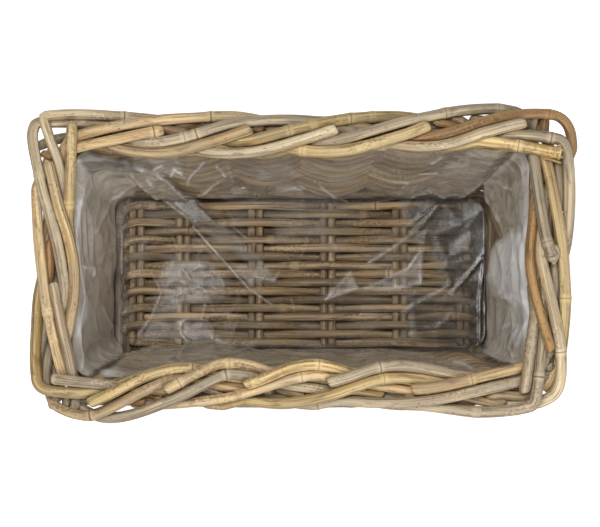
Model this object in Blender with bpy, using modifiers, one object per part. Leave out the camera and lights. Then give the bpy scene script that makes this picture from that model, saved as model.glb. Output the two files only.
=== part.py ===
"""Rattan planter: a rectangular woven basket with a braided border and a clear film liner.

Paired stakes stand in the wall and bend over at the top, where each cane passes under the pair
before it and over the pair after it, so the border is the stakes' own ends. Two canes chase each
other round the wall, in behind one pair of stakes and out in front of the next. The floor is one
cane woven to and fro through doubled cross sticks.
"""

import math

import bmesh
import bpy
from mathutils import Vector

# Overall sizes, in metres
RIM_LENGTH = 0.450
RIM_WIDTH = 0.260
HEIGHT = 0.190
FOOT_LENGTH = 0.356
FOOT_WIDTH = 0.158
RIM_CORNER_RADIUS = 0.026
FOOT_CORNER_RADIUS = 0.014
FLOOR_CLEARANCE = 0.001

# Canes
STAKE_DIAMETER = 0.009
WALL_CANE_DIAMETER = 0.0078
FLOOR_CANE_DIAMETER = 0.007
CROSS_STICK_DIAMETER = 0.007
FOOT_FLAT_DEPTH = 0.0005

# Film liner
FILM_THICKNESS = 0.0006
FILM_CORNER_RADIUS = 0.016
FILM_FLOOR_RADIUS = 0.005

# Fit
GAP = 0.0003
BEND_ROOM = 0.001
CUT_OVERRUN = 0.002

# Counts
LONG_SIDE_PAIRS = 6
SHORT_SIDE_PAIRS = 3
STAKE_PAIRS = 2 * (LONG_SIDE_PAIRS + SHORT_SIDE_PAIRS)
MIDDLE_STICK_PAIRS = 4
WEAVER_LENGTHS = 4
SWING_ROUNDS = 6
FILM_CORNER_SEGMENTS = 4
FILM_FLOOR_SEGMENTS = 2
CORNER_STATION_SHARES = (0.0, 0.5, 1.0)
WELD_SHARE = 0.1

# The end pairs of cross sticks are drawn in: their bay is this share of a middle one
END_BAY_SHARE = 0.76

# The middle pairs stand off centre along X by this share of a middle bay
MIDDLE_SHIFT_SHARE = -0.117

# Turns of the floor cane round an end stick, from the side that it comes from
WRAP_TURNS = (math.pi / 3, 0.0, -math.pi / 3)

# Border braid: each row is (along, across, rise). In the root rows all three are shares of the
# cane step. In the strand rows the first is a share of the stake pitch, counted from the middle
# of the pair. Across is positive outwards, and rise is counted from the top of the wall.
SHORT_ROOT_SHARES = (
    (-0.5, 0.0, -0.25),
    (-0.5, -0.62, 0.3),
    (0.15, -1.15, 0.55),
)
SHORT_STRAND_SHARES = (
    (0.25, -1.7, 0.63),
    (0.5, -2.02, 0.63),
    (0.75, -2.35, 1.0),
    (1.0, -2.3, 1.66),
    (1.25, -1.87, 1.76),
    (1.5, -1.33, 1.76),
    (1.75, -0.25, 1.9),
    (1.9, 0.2, 1.82),
)
LONG_ROOT_SHARES = (
    (0.5, 0.0, -0.25),
    (0.7, 0.0, 0.3),
    (1.2, -0.06, 0.58),
)
LONG_STRAND_SHARES = (
    (0.25, -0.18, 0.63),
    (0.5, -0.48, 0.63),
    (0.75, -0.93, 0.78),
    (1.0, -1.08, 1.71),
    (1.25, -0.42, 1.76),
    (1.5, 0.42, 1.76),
    (1.75, 1.27, 1.57),
    (2.0, 1.81, 0.96),
    (2.25, 1.98, 0.6),
    (2.5, 1.98, 0.43),
    (2.75, 1.93, 0.17),
)

# Sizes worked out from the ones above
CANE_STEP = STAKE_DIAMETER + GAP
STRAND_ROWS = SHORT_STRAND_SHARES + LONG_STRAND_SHARES
BORDER_REACH = max(row[1] for row in STRAND_ROWS) * CANE_STEP + STAKE_DIAMETER / 2
BORDER_HEIGHT = max(row[2] for row in STRAND_ROWS) * CANE_STEP + STAKE_DIAMETER / 2
WALL_TOP = HEIGHT - BORDER_HEIGHT
WALL_HEIGHT = WALL_TOP - FLOOR_CLEARANCE

WEAVE_SPAN = WALL_HEIGHT - BEND_ROOM - WALL_CANE_DIAMETER
COURSES = int(WEAVE_SPAN / (WALL_CANE_DIAMETER + GAP)) + 1
COURSE_PITCH = WEAVE_SPAN / (COURSES - 1)
CHASE_STATIONS = (COURSES - 1) * STAKE_PAIRS // 2

# Shades of the canes, as linear colour, and their finish
SHADES = {
    "pale_cane": (0.60, 0.44, 0.25),
    "yellow_cane": (0.56, 0.38, 0.16),
    "tan_cane": (0.44, 0.28, 0.13),
    "grey_cane": (0.36, 0.29, 0.20),
    "brown_cane": (0.30, 0.17, 0.08),
}

# Shades of the short and of the long cane of each pair, clockwise from the middle of the back
SHORT_SHADES = """
    pale_cane yellow_cane grey_cane brown_cane grey_cane tan_cane
    grey_cane yellow_cane tan_cane yellow_cane grey_cane grey_cane
    tan_cane yellow_cane tan_cane tan_cane pale_cane yellow_cane
""".split()
LONG_SHADES = """
    brown_cane grey_cane yellow_cane pale_cane grey_cane grey_cane
    yellow_cane tan_cane grey_cane tan_cane yellow_cane tan_cane
    grey_cane pale_cane tan_cane grey_cane yellow_cane grey_cane
""".split()
FLOOR_SHADE = (0.20, 0.14, 0.08)
WALL_SHADE = (0.33, 0.23, 0.13)
FILM_SHADE = (0.80, 0.80, 0.78)
CANE_ROUGHNESS = 0.62
FILM_ROUGHNESS = 0.15
FILM_ALPHA = 0.35


def remove_everything():
    """Remove the objects that the scene starts with."""
    for item in list(bpy.data.objects):
        bpy.data.objects.remove(item, do_unlink=True)


def new_collection(name):
    """Add a collection to the scene."""
    group = bpy.data.collections.new(name)
    bpy.context.scene.collection.children.link(group)
    return group


def new_material(name, shade, roughness, alpha=1.0):
    """Make a Principled material of one shade."""
    material = bpy.data.materials.new(name)
    material.use_nodes = True
    shader = material.node_tree.nodes["Principled BSDF"]
    shader.inputs["Base Color"].default_value = (*shade, 1.0)
    shader.inputs["Roughness"].default_value = roughness
    shader.inputs["Metallic"].default_value = 0.0
    shader.inputs["Alpha"].default_value = alpha
    return material


def mix(low, high, share):
    """Give the value at a share of the way from low to high."""
    return low + (high - low) * share


def swing_round(post_radius, cane_radius, half_pair, bay):
    """Give how far a zigzag cane's middle line stands off the middle of the pairs it weaves.

    The cane bends at the middle of each pair and runs straight to the next, so it stands off
    enough to clear the pair's outer cane as well.
    """
    clear = post_radius + cane_radius + GAP
    swing = clear
    for _ in range(SWING_ROUNDS):
        slope = 2 * swing / bay
        swing = clear * math.hypot(1, slope) + half_pair * slope
    return swing


class WallPlan:
    """The rounded rectangle that the wall's middle line follows at one height."""

    def __init__(self, height):
        rise = (height - FLOOR_CLEARANCE) / WALL_HEIGHT
        half_length = mix(FOOT_LENGTH / 2, RIM_LENGTH / 2 - BORDER_REACH, rise)
        half_width = mix(FOOT_WIDTH / 2, RIM_WIDTH / 2 - BORDER_REACH, rise)
        self.height = height
        self.radius = mix(FOOT_CORNER_RADIUS, RIM_CORNER_RADIUS, rise)
        self.flat_x = half_length - self.radius
        self.flat_y = half_width - self.radius
        self.arc = self.radius * math.pi / 2
        self.pitch = 4 * (self.flat_x + self.arc + self.flat_y) / STAKE_PAIRS
        cane_radius = WALL_CANE_DIAMETER / 2
        self.swing = swing_round(STAKE_DIAMETER / 2, cane_radius, CANE_STEP / 2, self.pitch)
        self.room_x = half_length - self.swing - cane_radius - GAP
        self.room_y = half_width - self.swing - cane_radius - GAP

    def at(self, along, outwards):
        """Give the point that far clockwise from the middle of the back, moved outwards."""
        corners = (
            Vector((self.flat_x, self.flat_y, 0)),
            Vector((self.flat_x, -self.flat_y, 0)),
            Vector((-self.flat_x, -self.flat_y, 0)),
            Vector((-self.flat_x, self.flat_y, 0)),
        )
        runs = (2 * self.flat_x, 2 * self.flat_y, 2 * self.flat_x, 2 * self.flat_y)
        left = (along + self.flat_x) % (self.pitch * STAKE_PAIRS)
        turned = 0.0
        for corner, run in zip(corners, runs):
            normal = Vector((math.sin(turned), math.cos(turned), 0))
            ahead = Vector((math.cos(turned), -math.sin(turned), 0))
            if left <= run:
                spot = corner + ahead * (left - run) + normal * (self.radius + outwards)
                break
            left -= run
            if left <= self.arc:
                turned += left / self.radius
                normal = Vector((math.sin(turned), math.cos(turned), 0))
                spot = corner + normal * (self.radius + outwards)
                break
            left -= self.arc
            turned += math.pi / 2
        return spot + Vector((0, 0, self.height))

    def corner_stations(self):
        """Give the places round one quarter's corner, in pitches from the quarter's start."""
        return [(self.flat_x + self.arc * share) / self.pitch for share in CORNER_STATION_SHARES]


RIM_PLAN = WallPlan(WALL_TOP)
FOOT_PLAN = WallPlan(FLOOR_CLEARANCE)

# Floor
STICK_STEP = CROSS_STICK_DIAMETER + GAP
FLOOR_CLEAR = (CROSS_STICK_DIAMETER + FLOOR_CANE_DIAMETER) / 2 + GAP
WRAP_RADIUS = FLOOR_CLEAR / math.cos((WRAP_TURNS[0] - WRAP_TURNS[1]) / 2)
END_STICK_X = FOOT_PLAN.room_x - FLOOR_CANE_DIAMETER / 2 - WRAP_RADIUS - STICK_STEP / 2
STICK_SPACING = 2 * END_STICK_X / (MIDDLE_STICK_PAIRS - 1 + 2 * END_BAY_SHARE)
INNER_STICKS_X = [
    STICK_SPACING * (index - (MIDDLE_STICK_PAIRS - 1) / 2 + MIDDLE_SHIFT_SHARE)
    for index in range(MIDDLE_STICK_PAIRS)
]
STICKS_X = [-END_STICK_X] + INNER_STICKS_X + [END_STICK_X]
STICK_BAYS = [right - left for left, right in zip(STICKS_X, STICKS_X[1:])]
TIGHT_BAYS = [min(pair) for pair in zip(STICK_BAYS[:1] + STICK_BAYS, STICK_BAYS + STICK_BAYS[-1:])]
FLOOR_SWINGS = [
    swing_round(CROSS_STICK_DIAMETER / 2, FLOOR_CANE_DIAMETER / 2, STICK_STEP / 2, bay)
    for bay in TIGHT_BAYS
]
FLOOR_SWING = max(FLOOR_SWINGS)
STICK_Z = FLOOR_SWING + FLOOR_CANE_DIAMETER / 2 - FOOT_FLAT_DEPTH
FLOOR_TOP = STICK_Z + FLOOR_SWING + FLOOR_CANE_DIAMETER / 2


def add_cane(name, points, diameter, material, group, holder):
    """Add a cane as a round curve through points, with its origin at its first point."""
    start = points[0]
    curve = bpy.data.curves.new(name, "CURVE")
    curve.dimensions = "3D"
    curve.bevel_depth = diameter / 2
    curve.bevel_resolution = 1
    curve.use_fill_caps = True
    spline = curve.splines.new("POLY")
    spline.points.add(len(points) - 1)
    for target, point in zip(spline.points, points):
        target.co = (*(point - start), 1)
    curve.materials.append(material)
    cane = bpy.data.objects.new(name, curve)
    cane.location = start
    cane.parent = holder
    group.objects.link(cane)
    return cane


def add_turned_copy(original, name, holder, group):
    """Add a copy of a cane turned half way round the basket's upright axis."""
    copy = bpy.data.objects.new(name, original.data)
    copy.location = (-original.location.x, -original.location.y, original.location.z)
    copy.rotation_euler = (0, 0, math.pi)
    copy.parent = holder
    group.objects.link(copy)
    return copy


def stake_points(pair, root_rows, strand_rows):
    """Route one stake: up the wall, over at its root and along the border."""
    middle = pair + 0.5
    side = root_rows[0][0] * CANE_STEP
    points = [FOOT_PLAN.at(middle * FOOT_PLAN.pitch + side, 0)]
    for along, across, rise in root_rows:
        place = middle * RIM_PLAN.pitch + along * CANE_STEP
        points.append(RIM_PLAN.at(place, across * CANE_STEP) + Vector((0, 0, rise * CANE_STEP)))
    for along, across, rise in strand_rows:
        place = (middle + along) * RIM_PLAN.pitch
        points.append(RIM_PLAN.at(place, across * CANE_STEP) + Vector((0, 0, rise * CANE_STEP)))
    return points


def chase_points():
    """Route one wall cane from the floor to the border, and mark where each bay starts."""
    points = []
    bay_starts = []
    low = FLOOR_CLEARANCE + WALL_CANE_DIAMETER / 2
    rise = 2 * COURSE_PITCH / STAKE_PAIRS
    for station in range(CHASE_STATIONS + 1):
        side = 1 if station % 2 == 0 else -1
        phase = station + 0.5
        plan = WallPlan(low + station * rise)
        bay_starts.append(len(points))
        points.append(plan.at(phase * plan.pitch, side * plan.swing))
        if station == CHASE_STATIONS:
            break
        for turn in corner_phases(plan, phase):
            share = turn - phase
            bend = WallPlan(low + (station + share) * rise)
            points.append(bend.at(turn * bend.pitch, side * mix(bend.swing, -bend.swing, share)))
    return points, bay_starts


def corner_phases(plan, phase):
    """List the corner stations between a pair of stakes and the next, in pitches."""
    half_turn = STAKE_PAIRS / 2
    before = plan.corner_stations()
    after = [half_turn - place for place in reversed(before)]
    found = []
    for start in range(int(phase // half_turn) - 1, int(phase // half_turn) + 2):
        for place in before + after:
            turn = start * half_turn + place
            if phase < turn < phase + 1:
                found.append(turn)
    return sorted(found)


def add_wall_canes(materials, group, holder):
    """Add the two chasing canes, each in lengths that meet end to end."""
    points, bay_starts = chase_points()
    for part in range(WEAVER_LENGTHS):
        first = CHASE_STATIONS * part // WEAVER_LENGTHS
        last = CHASE_STATIONS * (part + 1) // WEAVER_LENGTHS
        piece = points[bay_starts[first]:bay_starts[last] + 1]
        if part > 0:
            piece[0] = halfway(piece[0], piece[1], GAP / 2)
        if part < WEAVER_LENGTHS - 1:
            follower = points[bay_starts[last] + 1]
            piece.append(halfway(piece[-1], follower, -GAP / 2))
        material = materials[part % len(materials)]
        name = f"wall_weaver_a{part + 1}"
        cane = add_cane(name, piece, WALL_CANE_DIAMETER, material, group, holder)
        add_turned_copy(cane, f"wall_weaver_b{part + 1}", holder, group)


def halfway(first, second, shift):
    """Give the point midway between two others, moved along by shift."""
    return (first + second) / 2 + (second - first).normalized() * shift


def add_cross_sticks(material, group, holder):
    """Add the doubled sticks that lie across the floor."""
    number = 0
    for place in STICKS_X:
        for side in (-1, 1):
            number += 1
            x = place + side * STICK_STEP / 2
            ends = [Vector((x, way * FOOT_PLAN.room_y, STICK_Z)) for way in (-1, 1)]
            name = f"cross_stick_{number:02d}"
            add_cane(name, ends, CROSS_STICK_DIAMETER, material, group, holder)


def floor_cane_points():
    """Route the floor cane to and fro, over one pair of sticks and under the next."""
    reach = 2 * FOOT_PLAN.room_y - FLOOR_CANE_DIAMETER
    rows = int(reach / (FLOOR_CANE_DIAMETER + GAP)) + 1
    step = reach / (rows - 1)
    points = []
    for row in range(rows):
        heading = 1 if row % 2 == 0 else -1
        y = row * step - reach / 2
        crossings = list(enumerate(zip(STICKS_X, FLOOR_SWINGS)))[::heading]
        for stick, (place, swing) in crossings:
            over = 1 if (stick + row) % 2 == 0 else -1
            points.append(Vector((place, y, STICK_Z + over * swing)))
        if row == rows - 1:
            break
        edge = heading * (END_STICK_X + STICK_STEP / 2)
        for count, turn in enumerate(WRAP_TURNS, 1):
            wrap_x = edge + heading * WRAP_RADIUS * math.cos(turn)
            wrap_z = STICK_Z + over * WRAP_RADIUS * math.sin(turn)
            wrap_y = y + step * count / (len(WRAP_TURNS) + 1)
            points.append(Vector((wrap_x, wrap_y, wrap_z)))
    return points


def as_mesh(source, group):
    """Replace a curve object by a mesh object of the same name and place."""
    graph = bpy.context.evaluated_depsgraph_get()
    graph.update()
    data = bpy.data.meshes.new_from_object(source.evaluated_get(graph))
    shape = bmesh.new()
    shape.from_mesh(data)
    bmesh.ops.remove_doubles(shape, verts=shape.verts, dist=GAP * WELD_SHARE)
    shape.to_mesh(data)
    shape.free()
    name = source.name
    solid = bpy.data.objects.new(name + "_solid", data)
    solid.parent = source.parent
    solid.matrix_world = source.matrix_world.copy()
    group.objects.link(solid)
    bpy.data.objects.remove(source, do_unlink=True)
    solid.name = name
    return solid


def add_floor_cane(material, group, cutters, holder):
    """Add the floor cane, cut flat underneath where the planter stands on it."""
    curve = add_cane(
        "floor_weaver", floor_cane_points(), FLOOR_CANE_DIAMETER, material, group, holder
    )
    bpy.context.view_layer.update()
    cane = as_mesh(curve, group)
    bpy.ops.mesh.primitive_cube_add(size=1, location=(0, 0, -FLOOR_CANE_DIAMETER / 2))
    ground = bpy.context.object
    ground.name = "ground_cutter"
    ground.scale = (
        2 * (FOOT_PLAN.room_x + CUT_OVERRUN),
        2 * (FOOT_PLAN.room_y + CUT_OVERRUN),
        FLOOR_CANE_DIAMETER,
    )
    for owner in list(ground.users_collection):
        owner.objects.unlink(ground)
    cutters.objects.link(ground)
    ground.hide_render = True
    ground.display_type = "WIRE"
    cut = cane.modifiers.new("standing flats", "BOOLEAN")
    cut.operation = "DIFFERENCE"
    cut.object = ground
    return cane


def add_film_liner(material, group, holder):
    """Add the open tub of film that lines the basket."""
    floor_z = FLOOR_TOP + GAP
    low = WallPlan(floor_z)
    shape = bmesh.new()
    bmesh.ops.create_cube(shape, size=1)
    for vert in shape.verts:
        plan = RIM_PLAN if vert.co.z > 0 else low
        vert.co.x = math.copysign(plan.room_x, vert.co.x)
        vert.co.y = math.copysign(plan.room_y, vert.co.y)
        vert.co.z = WALL_TOP - floor_z if vert.co.z > 0 else 0
    top = [face for face in shape.faces if min(vert.co.z for vert in face.verts) > 0]
    bmesh.ops.delete(shape, geom=top, context="FACES_ONLY")
    uprights = [
        edge for edge in shape.edges
        if abs(edge.verts[0].co.z - edge.verts[1].co.z) > FILM_THICKNESS
    ]
    bmesh.ops.bevel(
        shape, geom=uprights, offset=FILM_CORNER_RADIUS, segments=FILM_CORNER_SEGMENTS,
        profile=0.5, affect="EDGES"
    )
    bottom = [
        edge for edge in shape.edges
        if max(vert.co.z for vert in edge.verts) < FILM_THICKNESS and len(edge.link_faces) == 2
    ]
    bmesh.ops.bevel(
        shape, geom=bottom, offset=FILM_FLOOR_RADIUS, segments=FILM_FLOOR_SEGMENTS,
        profile=0.5, affect="EDGES"
    )
    mesh = bpy.data.meshes.new("film_liner")
    shape.to_mesh(mesh)
    shape.free()
    mesh.materials.append(material)
    liner = bpy.data.objects.new("film_liner", mesh)
    liner.location = (0, 0, floor_z)
    liner.parent = holder
    group.objects.link(liner)
    wall = liner.modifiers.new("film", "SOLIDIFY")
    wall.thickness = FILM_THICKNESS
    wall.offset = -1
    wall.use_even_offset = True
    return liner


def add_stakes(shades, group, holder):
    """Add every pair of stakes, each cane from the foot of the wall to its end in the border."""
    for pair in range(STAKE_PAIRS):
        short = stake_points(pair, SHORT_ROOT_SHARES, SHORT_STRAND_SHARES)
        long = stake_points(pair, LONG_ROOT_SHARES, LONG_STRAND_SHARES)
        first = shades[SHORT_SHADES[pair % len(SHORT_SHADES)]]
        second = shades[LONG_SHADES[pair % len(LONG_SHADES)]]
        number = f"{pair + 1:02d}"
        add_cane(f"short_stake_{number}", short, STAKE_DIAMETER, first, group, holder)
        add_cane(f"long_stake_{number}", long, STAKE_DIAMETER, second, group, holder)


def main():
    """Build the planter."""
    remove_everything()
    group = new_collection("rattan_planter")
    cutters = new_collection("cutters")
    holder = bpy.data.objects.new("planter_frame", None)
    group.objects.link(holder)

    shades = {name: new_material(name, shade, CANE_ROUGHNESS) for name, shade in SHADES.items()}
    wall = new_material("wall_cane", WALL_SHADE, CANE_ROUGHNESS)
    floor = new_material("floor_cane", FLOOR_SHADE, CANE_ROUGHNESS)
    film = new_material("film", FILM_SHADE, FILM_ROUGHNESS, FILM_ALPHA)

    add_stakes(shades, group, holder)
    add_wall_canes([wall, shades["tan_cane"]], group, holder)
    add_cross_sticks(floor, group, holder)
    add_floor_cane(floor, group, cutters, holder)
    add_film_liner(film, group, holder)


main()
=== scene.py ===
"""Looks of a rattan planter: braided border, woven walls and floor, and a crumpled film liner.

Every cane is a straight length of rattan that is bent along its route. The border's routes follow
the photograph's canes one by one, and the wall's and floor's routes follow the weave.
"""

import logging
import math
from collections.abc import Iterator
from contextlib import contextmanager
from dataclasses import dataclass, field
from enum import Enum
from functools import cached_property

import bpy
import numpy as np
from bpy.types import Material, Mesh, Node, NodeSocket, NodeTree, Object
from mathutils import Matrix, Vector, kdtree, noise


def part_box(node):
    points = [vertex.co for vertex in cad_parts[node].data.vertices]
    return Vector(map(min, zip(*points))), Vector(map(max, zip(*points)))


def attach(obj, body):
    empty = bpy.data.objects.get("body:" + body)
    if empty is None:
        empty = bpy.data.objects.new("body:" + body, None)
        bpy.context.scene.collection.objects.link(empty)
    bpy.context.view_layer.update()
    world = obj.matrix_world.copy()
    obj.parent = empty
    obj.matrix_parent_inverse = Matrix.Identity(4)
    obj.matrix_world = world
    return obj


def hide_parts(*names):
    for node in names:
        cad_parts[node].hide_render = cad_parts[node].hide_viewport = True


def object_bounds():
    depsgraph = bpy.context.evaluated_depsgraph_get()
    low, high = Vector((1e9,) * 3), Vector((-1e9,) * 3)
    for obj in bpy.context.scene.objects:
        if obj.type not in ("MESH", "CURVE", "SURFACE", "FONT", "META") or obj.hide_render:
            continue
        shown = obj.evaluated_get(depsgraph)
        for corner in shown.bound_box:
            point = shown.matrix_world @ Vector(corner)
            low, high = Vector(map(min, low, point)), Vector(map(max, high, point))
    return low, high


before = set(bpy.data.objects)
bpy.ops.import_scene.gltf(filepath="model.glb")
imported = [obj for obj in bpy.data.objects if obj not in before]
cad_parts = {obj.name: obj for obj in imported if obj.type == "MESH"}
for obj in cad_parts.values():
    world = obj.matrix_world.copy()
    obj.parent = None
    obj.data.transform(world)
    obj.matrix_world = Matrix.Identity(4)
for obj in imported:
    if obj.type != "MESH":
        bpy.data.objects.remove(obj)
CAD_LOW, CAD_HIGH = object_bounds()

LOG = logging.getLogger("rattan planter")
MM = 0.001
BODY = "root"
GOLDEN_SHARE = 0.618
LEAST_RUN = 1e-4

Array = np.ndarray
Colour = tuple[int, int, int]
Pixels = tuple[int, ...]
Spots = list[tuple[int, int]]
Triples = tuple[tuple[float, float, float], ...]


def linear(red: int, green: int, blue: int) -> tuple[float, float, float, float]:
    """Give a screen colour as linear colour, by the screen's standard curve.

    Args:
        red: Red, 0 to 255.
        green: Green, 0 to 255.
        blue: Blue, 0 to 255.

    Returns:
        The colour that Blender's sockets take.
    """
    parts = [value / 255 for value in (red, green, blue)]
    bright = [part / 12.92 if part < 0.04045 else ((part + 0.055) / 1.055) ** 2.4 for part in parts]
    return (*bright, 1.0)


def spread(low: float, high: float, share: float) -> float:
    """Give the value at a share of the way from low to high."""
    return low + (high - low) * share


def ease(share: Array) -> Array:
    """Give a share of 0 to 1 a smooth start and end."""
    held = np.clip(share, 0.0, 1.0)
    return held * held * (3 - 2 * held)


def scatter(number: int) -> float:
    """Give each number its own share of 0 to 1, far from its neighbours' shares."""
    return (number * GOLDEN_SHARE) % 1.0


def spots_of(pixels: Pixels) -> Spots:
    """Pair pixels across and down into picture points."""
    return list(zip(pixels[::2], pixels[1::2]))


def deselect() -> None:
    """Leave nothing selected, so that an operator acts on the new object alone."""
    for item in bpy.context.selected_objects:
        item.select_set(False)


def choose(piece: Object) -> None:
    """Make a piece the only selected one, and the active one."""
    deselect()
    piece.select_set(True)
    bpy.context.view_layer.objects.active = piece


@contextmanager
def edit_mode() -> Iterator[None]:
    """Work on the active piece in edit mode, and leave it afterwards."""
    bpy.ops.object.mode_set(mode="EDIT")
    yield
    bpy.ops.object.mode_set(mode="OBJECT")


def cut_across(piece: Object, axis: int, cuts: int) -> None:
    """Cut the edges of a piece that run along one axis.

    Args:
        piece: The piece to cut.
        axis: The axis, 0 to 2 for X to Z.
        cuts: How many cuts each edge gets.
    """
    choose(piece)
    with edit_mode():
        bpy.ops.mesh.select_mode(type="EDGE")
        bpy.ops.mesh.select_all(action="DESELECT")
    places = piece.data.vertices
    for edge in piece.data.edges:
        first, second = (places[index].co for index in edge.vertices)
        edge.select = abs(first[axis] - second[axis]) > LEAST_RUN
    with edit_mode():
        bpy.ops.mesh.subdivide(number_cuts=cuts)


def read_places(mesh: Mesh) -> Array:
    """Read the places of a mesh's points."""
    flat = np.empty(len(mesh.vertices) * 3)
    mesh.vertices.foreach_get("co", flat)
    return flat.reshape(-1, 3)


def set_attribute(mesh: Mesh, name: str, values: Array) -> None:
    """Store one value or one vector for each point of a mesh.

    Args:
        mesh: The mesh.
        name: The attribute's name.
        values: A value or a row of three for each point.
    """
    kind, label = ("FLOAT", "value") if values.ndim == 1 else ("FLOAT_VECTOR", "vector")
    layer = mesh.attributes.new(name, kind, "POINT")
    layer.data.foreach_set(label, values.astype(np.float32).ravel())


@dataclass(frozen=True)
class PhotoView:
    """The photograph's view, which places a picture point in space.

    Sizes are in metres, and picture points in pixels of the photograph's frame.
    """

    width: int = 600
    height: int = 527
    eye: Vector = field(default_factory=lambda: Vector((-0.025, -0.122, 1.985)))
    aim: Vector = field(default_factory=lambda: Vector((-0.002, -0.0012, 0.175)))
    sensor: float = 36.0
    lens: float = 131.7
    nearest: float = 0.01

    def turn(self) -> Matrix:
        """Give the camera's turn, with the picture's right along +X."""
        back = (self.eye - self.aim).normalized()
        right = Vector((1, 0, 0))
        right = (right - right.dot(back) * back).normalized()
        return Matrix((right, back.cross(right), back)).transposed()

    def place(self, across: float, down: float, height: float) -> Vector:
        """Find the point at a height that shows at a picture point.

        Args:
            across: Pixels from the picture's left edge.
            down: Pixels from the picture's top edge.
            height: Height above the ground.

        Returns:
            The point in space.
        """
        pixel = self.sensor / self.width
        ray = Vector(((across - self.width / 2) * pixel, (self.height / 2 - down) * pixel, -self.lens))
        ray = self.turn() @ ray
        return self.eye + ray * ((height - self.eye.z) / ray.z)

    def shown_at(self, places: Array) -> Array:
        """Give the photograph's pixels at which points show.

        Args:
            places: The points in space.

        Returns:
            For each point its pixels across and down.
        """
        local = (places - np.array(self.eye)) @ np.array(self.turn())
        scale = self.lens / self.sensor * self.width / -local[:, 2]
        across, down = local[:, 0] * scale, local[:, 1] * scale
        return np.column_stack([self.width / 2 + across, self.height / 2 - down])

    def add_camera(self) -> None:
        """Add the camera that shows the scene as the photograph does."""
        data = bpy.data.cameras.new("photo_camera")
        data.sensor_width = self.sensor
        data.lens = self.lens
        data.clip_start = self.nearest
        camera = bpy.data.objects.new("photo_camera", data)
        camera.matrix_world = Matrix.Translation(self.eye) @ self.turn().to_4x4()
        bpy.context.scene.collection.objects.link(camera)
        bpy.context.scene.camera = camera


VIEW = PhotoView()


@dataclass(frozen=True)
class WallPlan:
    """The rounded rectangle that the wall's middle line follows at one height, as in the frame.

    Sizes are in metres.
    """

    height: float
    stake_pairs: int = 18
    rim_reach: float = 0.0229
    foot_half_length: float = 0.178
    foot_half_width: float = 0.079
    rim_radius: float = 0.026
    foot_radius: float = 0.014
    foot_z: float = 0.001
    wall_top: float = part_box("film_liner")[1].z

    @cached_property
    def rise(self) -> float:
        """Share of the way up from the foot to the wall's top."""
        return (self.height - self.foot_z) / (self.wall_top - self.foot_z)

    @cached_property
    def radius(self) -> float:
        """Radius of the corners."""
        return spread(self.foot_radius, self.rim_radius, self.rise)

    @cached_property
    def arc(self) -> float:
        """Length of the middle line round one corner."""
        return self.radius * math.pi / 2

    @cached_property
    def half_length(self) -> float:
        """Half of the length along X."""
        return spread(self.foot_half_length, CAD_HIGH.x - self.rim_reach, self.rise)

    @cached_property
    def half_width(self) -> float:
        """Half of the width along Y."""
        return spread(self.foot_half_width, CAD_HIGH.y - self.rim_reach, self.rise)

    @cached_property
    def flat(self) -> tuple[float, float]:
        """Half of each straight side, along X and along Y."""
        return self.half_length - self.radius, self.half_width - self.radius

    @cached_property
    def girth(self) -> float:
        """Length of the middle line all round."""
        return 4 * (sum(self.flat) + self.arc)

    @cached_property
    def pitch(self) -> float:
        """Distance from one pair of stakes to the next."""
        return self.girth / self.stake_pairs

    def at(self, along: float, outwards: float = 0.0) -> Vector:
        """Find a place round the wall.

        Args:
            along: Distance clockwise from the middle of the back side.
            outwards: Distance outwards from the middle line.

        Returns:
            The point, at this plan's height.
        """
        flat_x, flat_y = self.flat
        left = (along + flat_x) % self.girth
        turned = 0.0
        corners = ((flat_x, flat_y), (flat_x, -flat_y), (-flat_x, -flat_y), (-flat_x, flat_y))
        for corner, run in zip(corners, (2 * flat_x, 2 * flat_y) * 2):
            back = min(left - run, 0.0)
            bend = min(max(left - run, 0.0), self.arc) / self.radius
            normal = Vector((math.sin(turned + bend), math.cos(turned + bend), 0))
            ahead = Vector((math.cos(turned), -math.sin(turned), 0))
            spot = Vector((*corner, self.height)) + ahead * back + normal * (self.radius + outwards)
            if left <= run + self.arc:
                break
            left -= run + self.arc
            turned += math.pi / 2
        return spot

    def corner_marks(self, phase: float, margin: float) -> list[tuple[float, float]]:
        """List the starts, middles and ends of corners between a pair of stakes and the next.

        Args:
            phase: Where the first pair stands, in pitches from the middle of the back side.
            margin: Share of the bay at each of its ends in which none is listed.

        Returns:
            For each one its share of the bay, and its place in pitches, in order.
        """
        half_turns = int(phase // (self.stake_pairs / 2))
        found = []
        for turn in range(half_turns - 1, half_turns + 2):
            for start in (self.flat[0], self.flat[0] + self.arc + 2 * self.flat[1]):
                for share in (0.0, 0.5, 1.0):
                    spot = (start + share * self.arc + turn * (self.girth / 2)) / self.pitch
                    if margin < spot - phase < 1 - margin:
                        found.append((spot - phase, spot))
        return sorted(found)


RIM = WallPlan(WallPlan.wall_top)
FOOT = WallPlan(WallPlan.foot_z)


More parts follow.
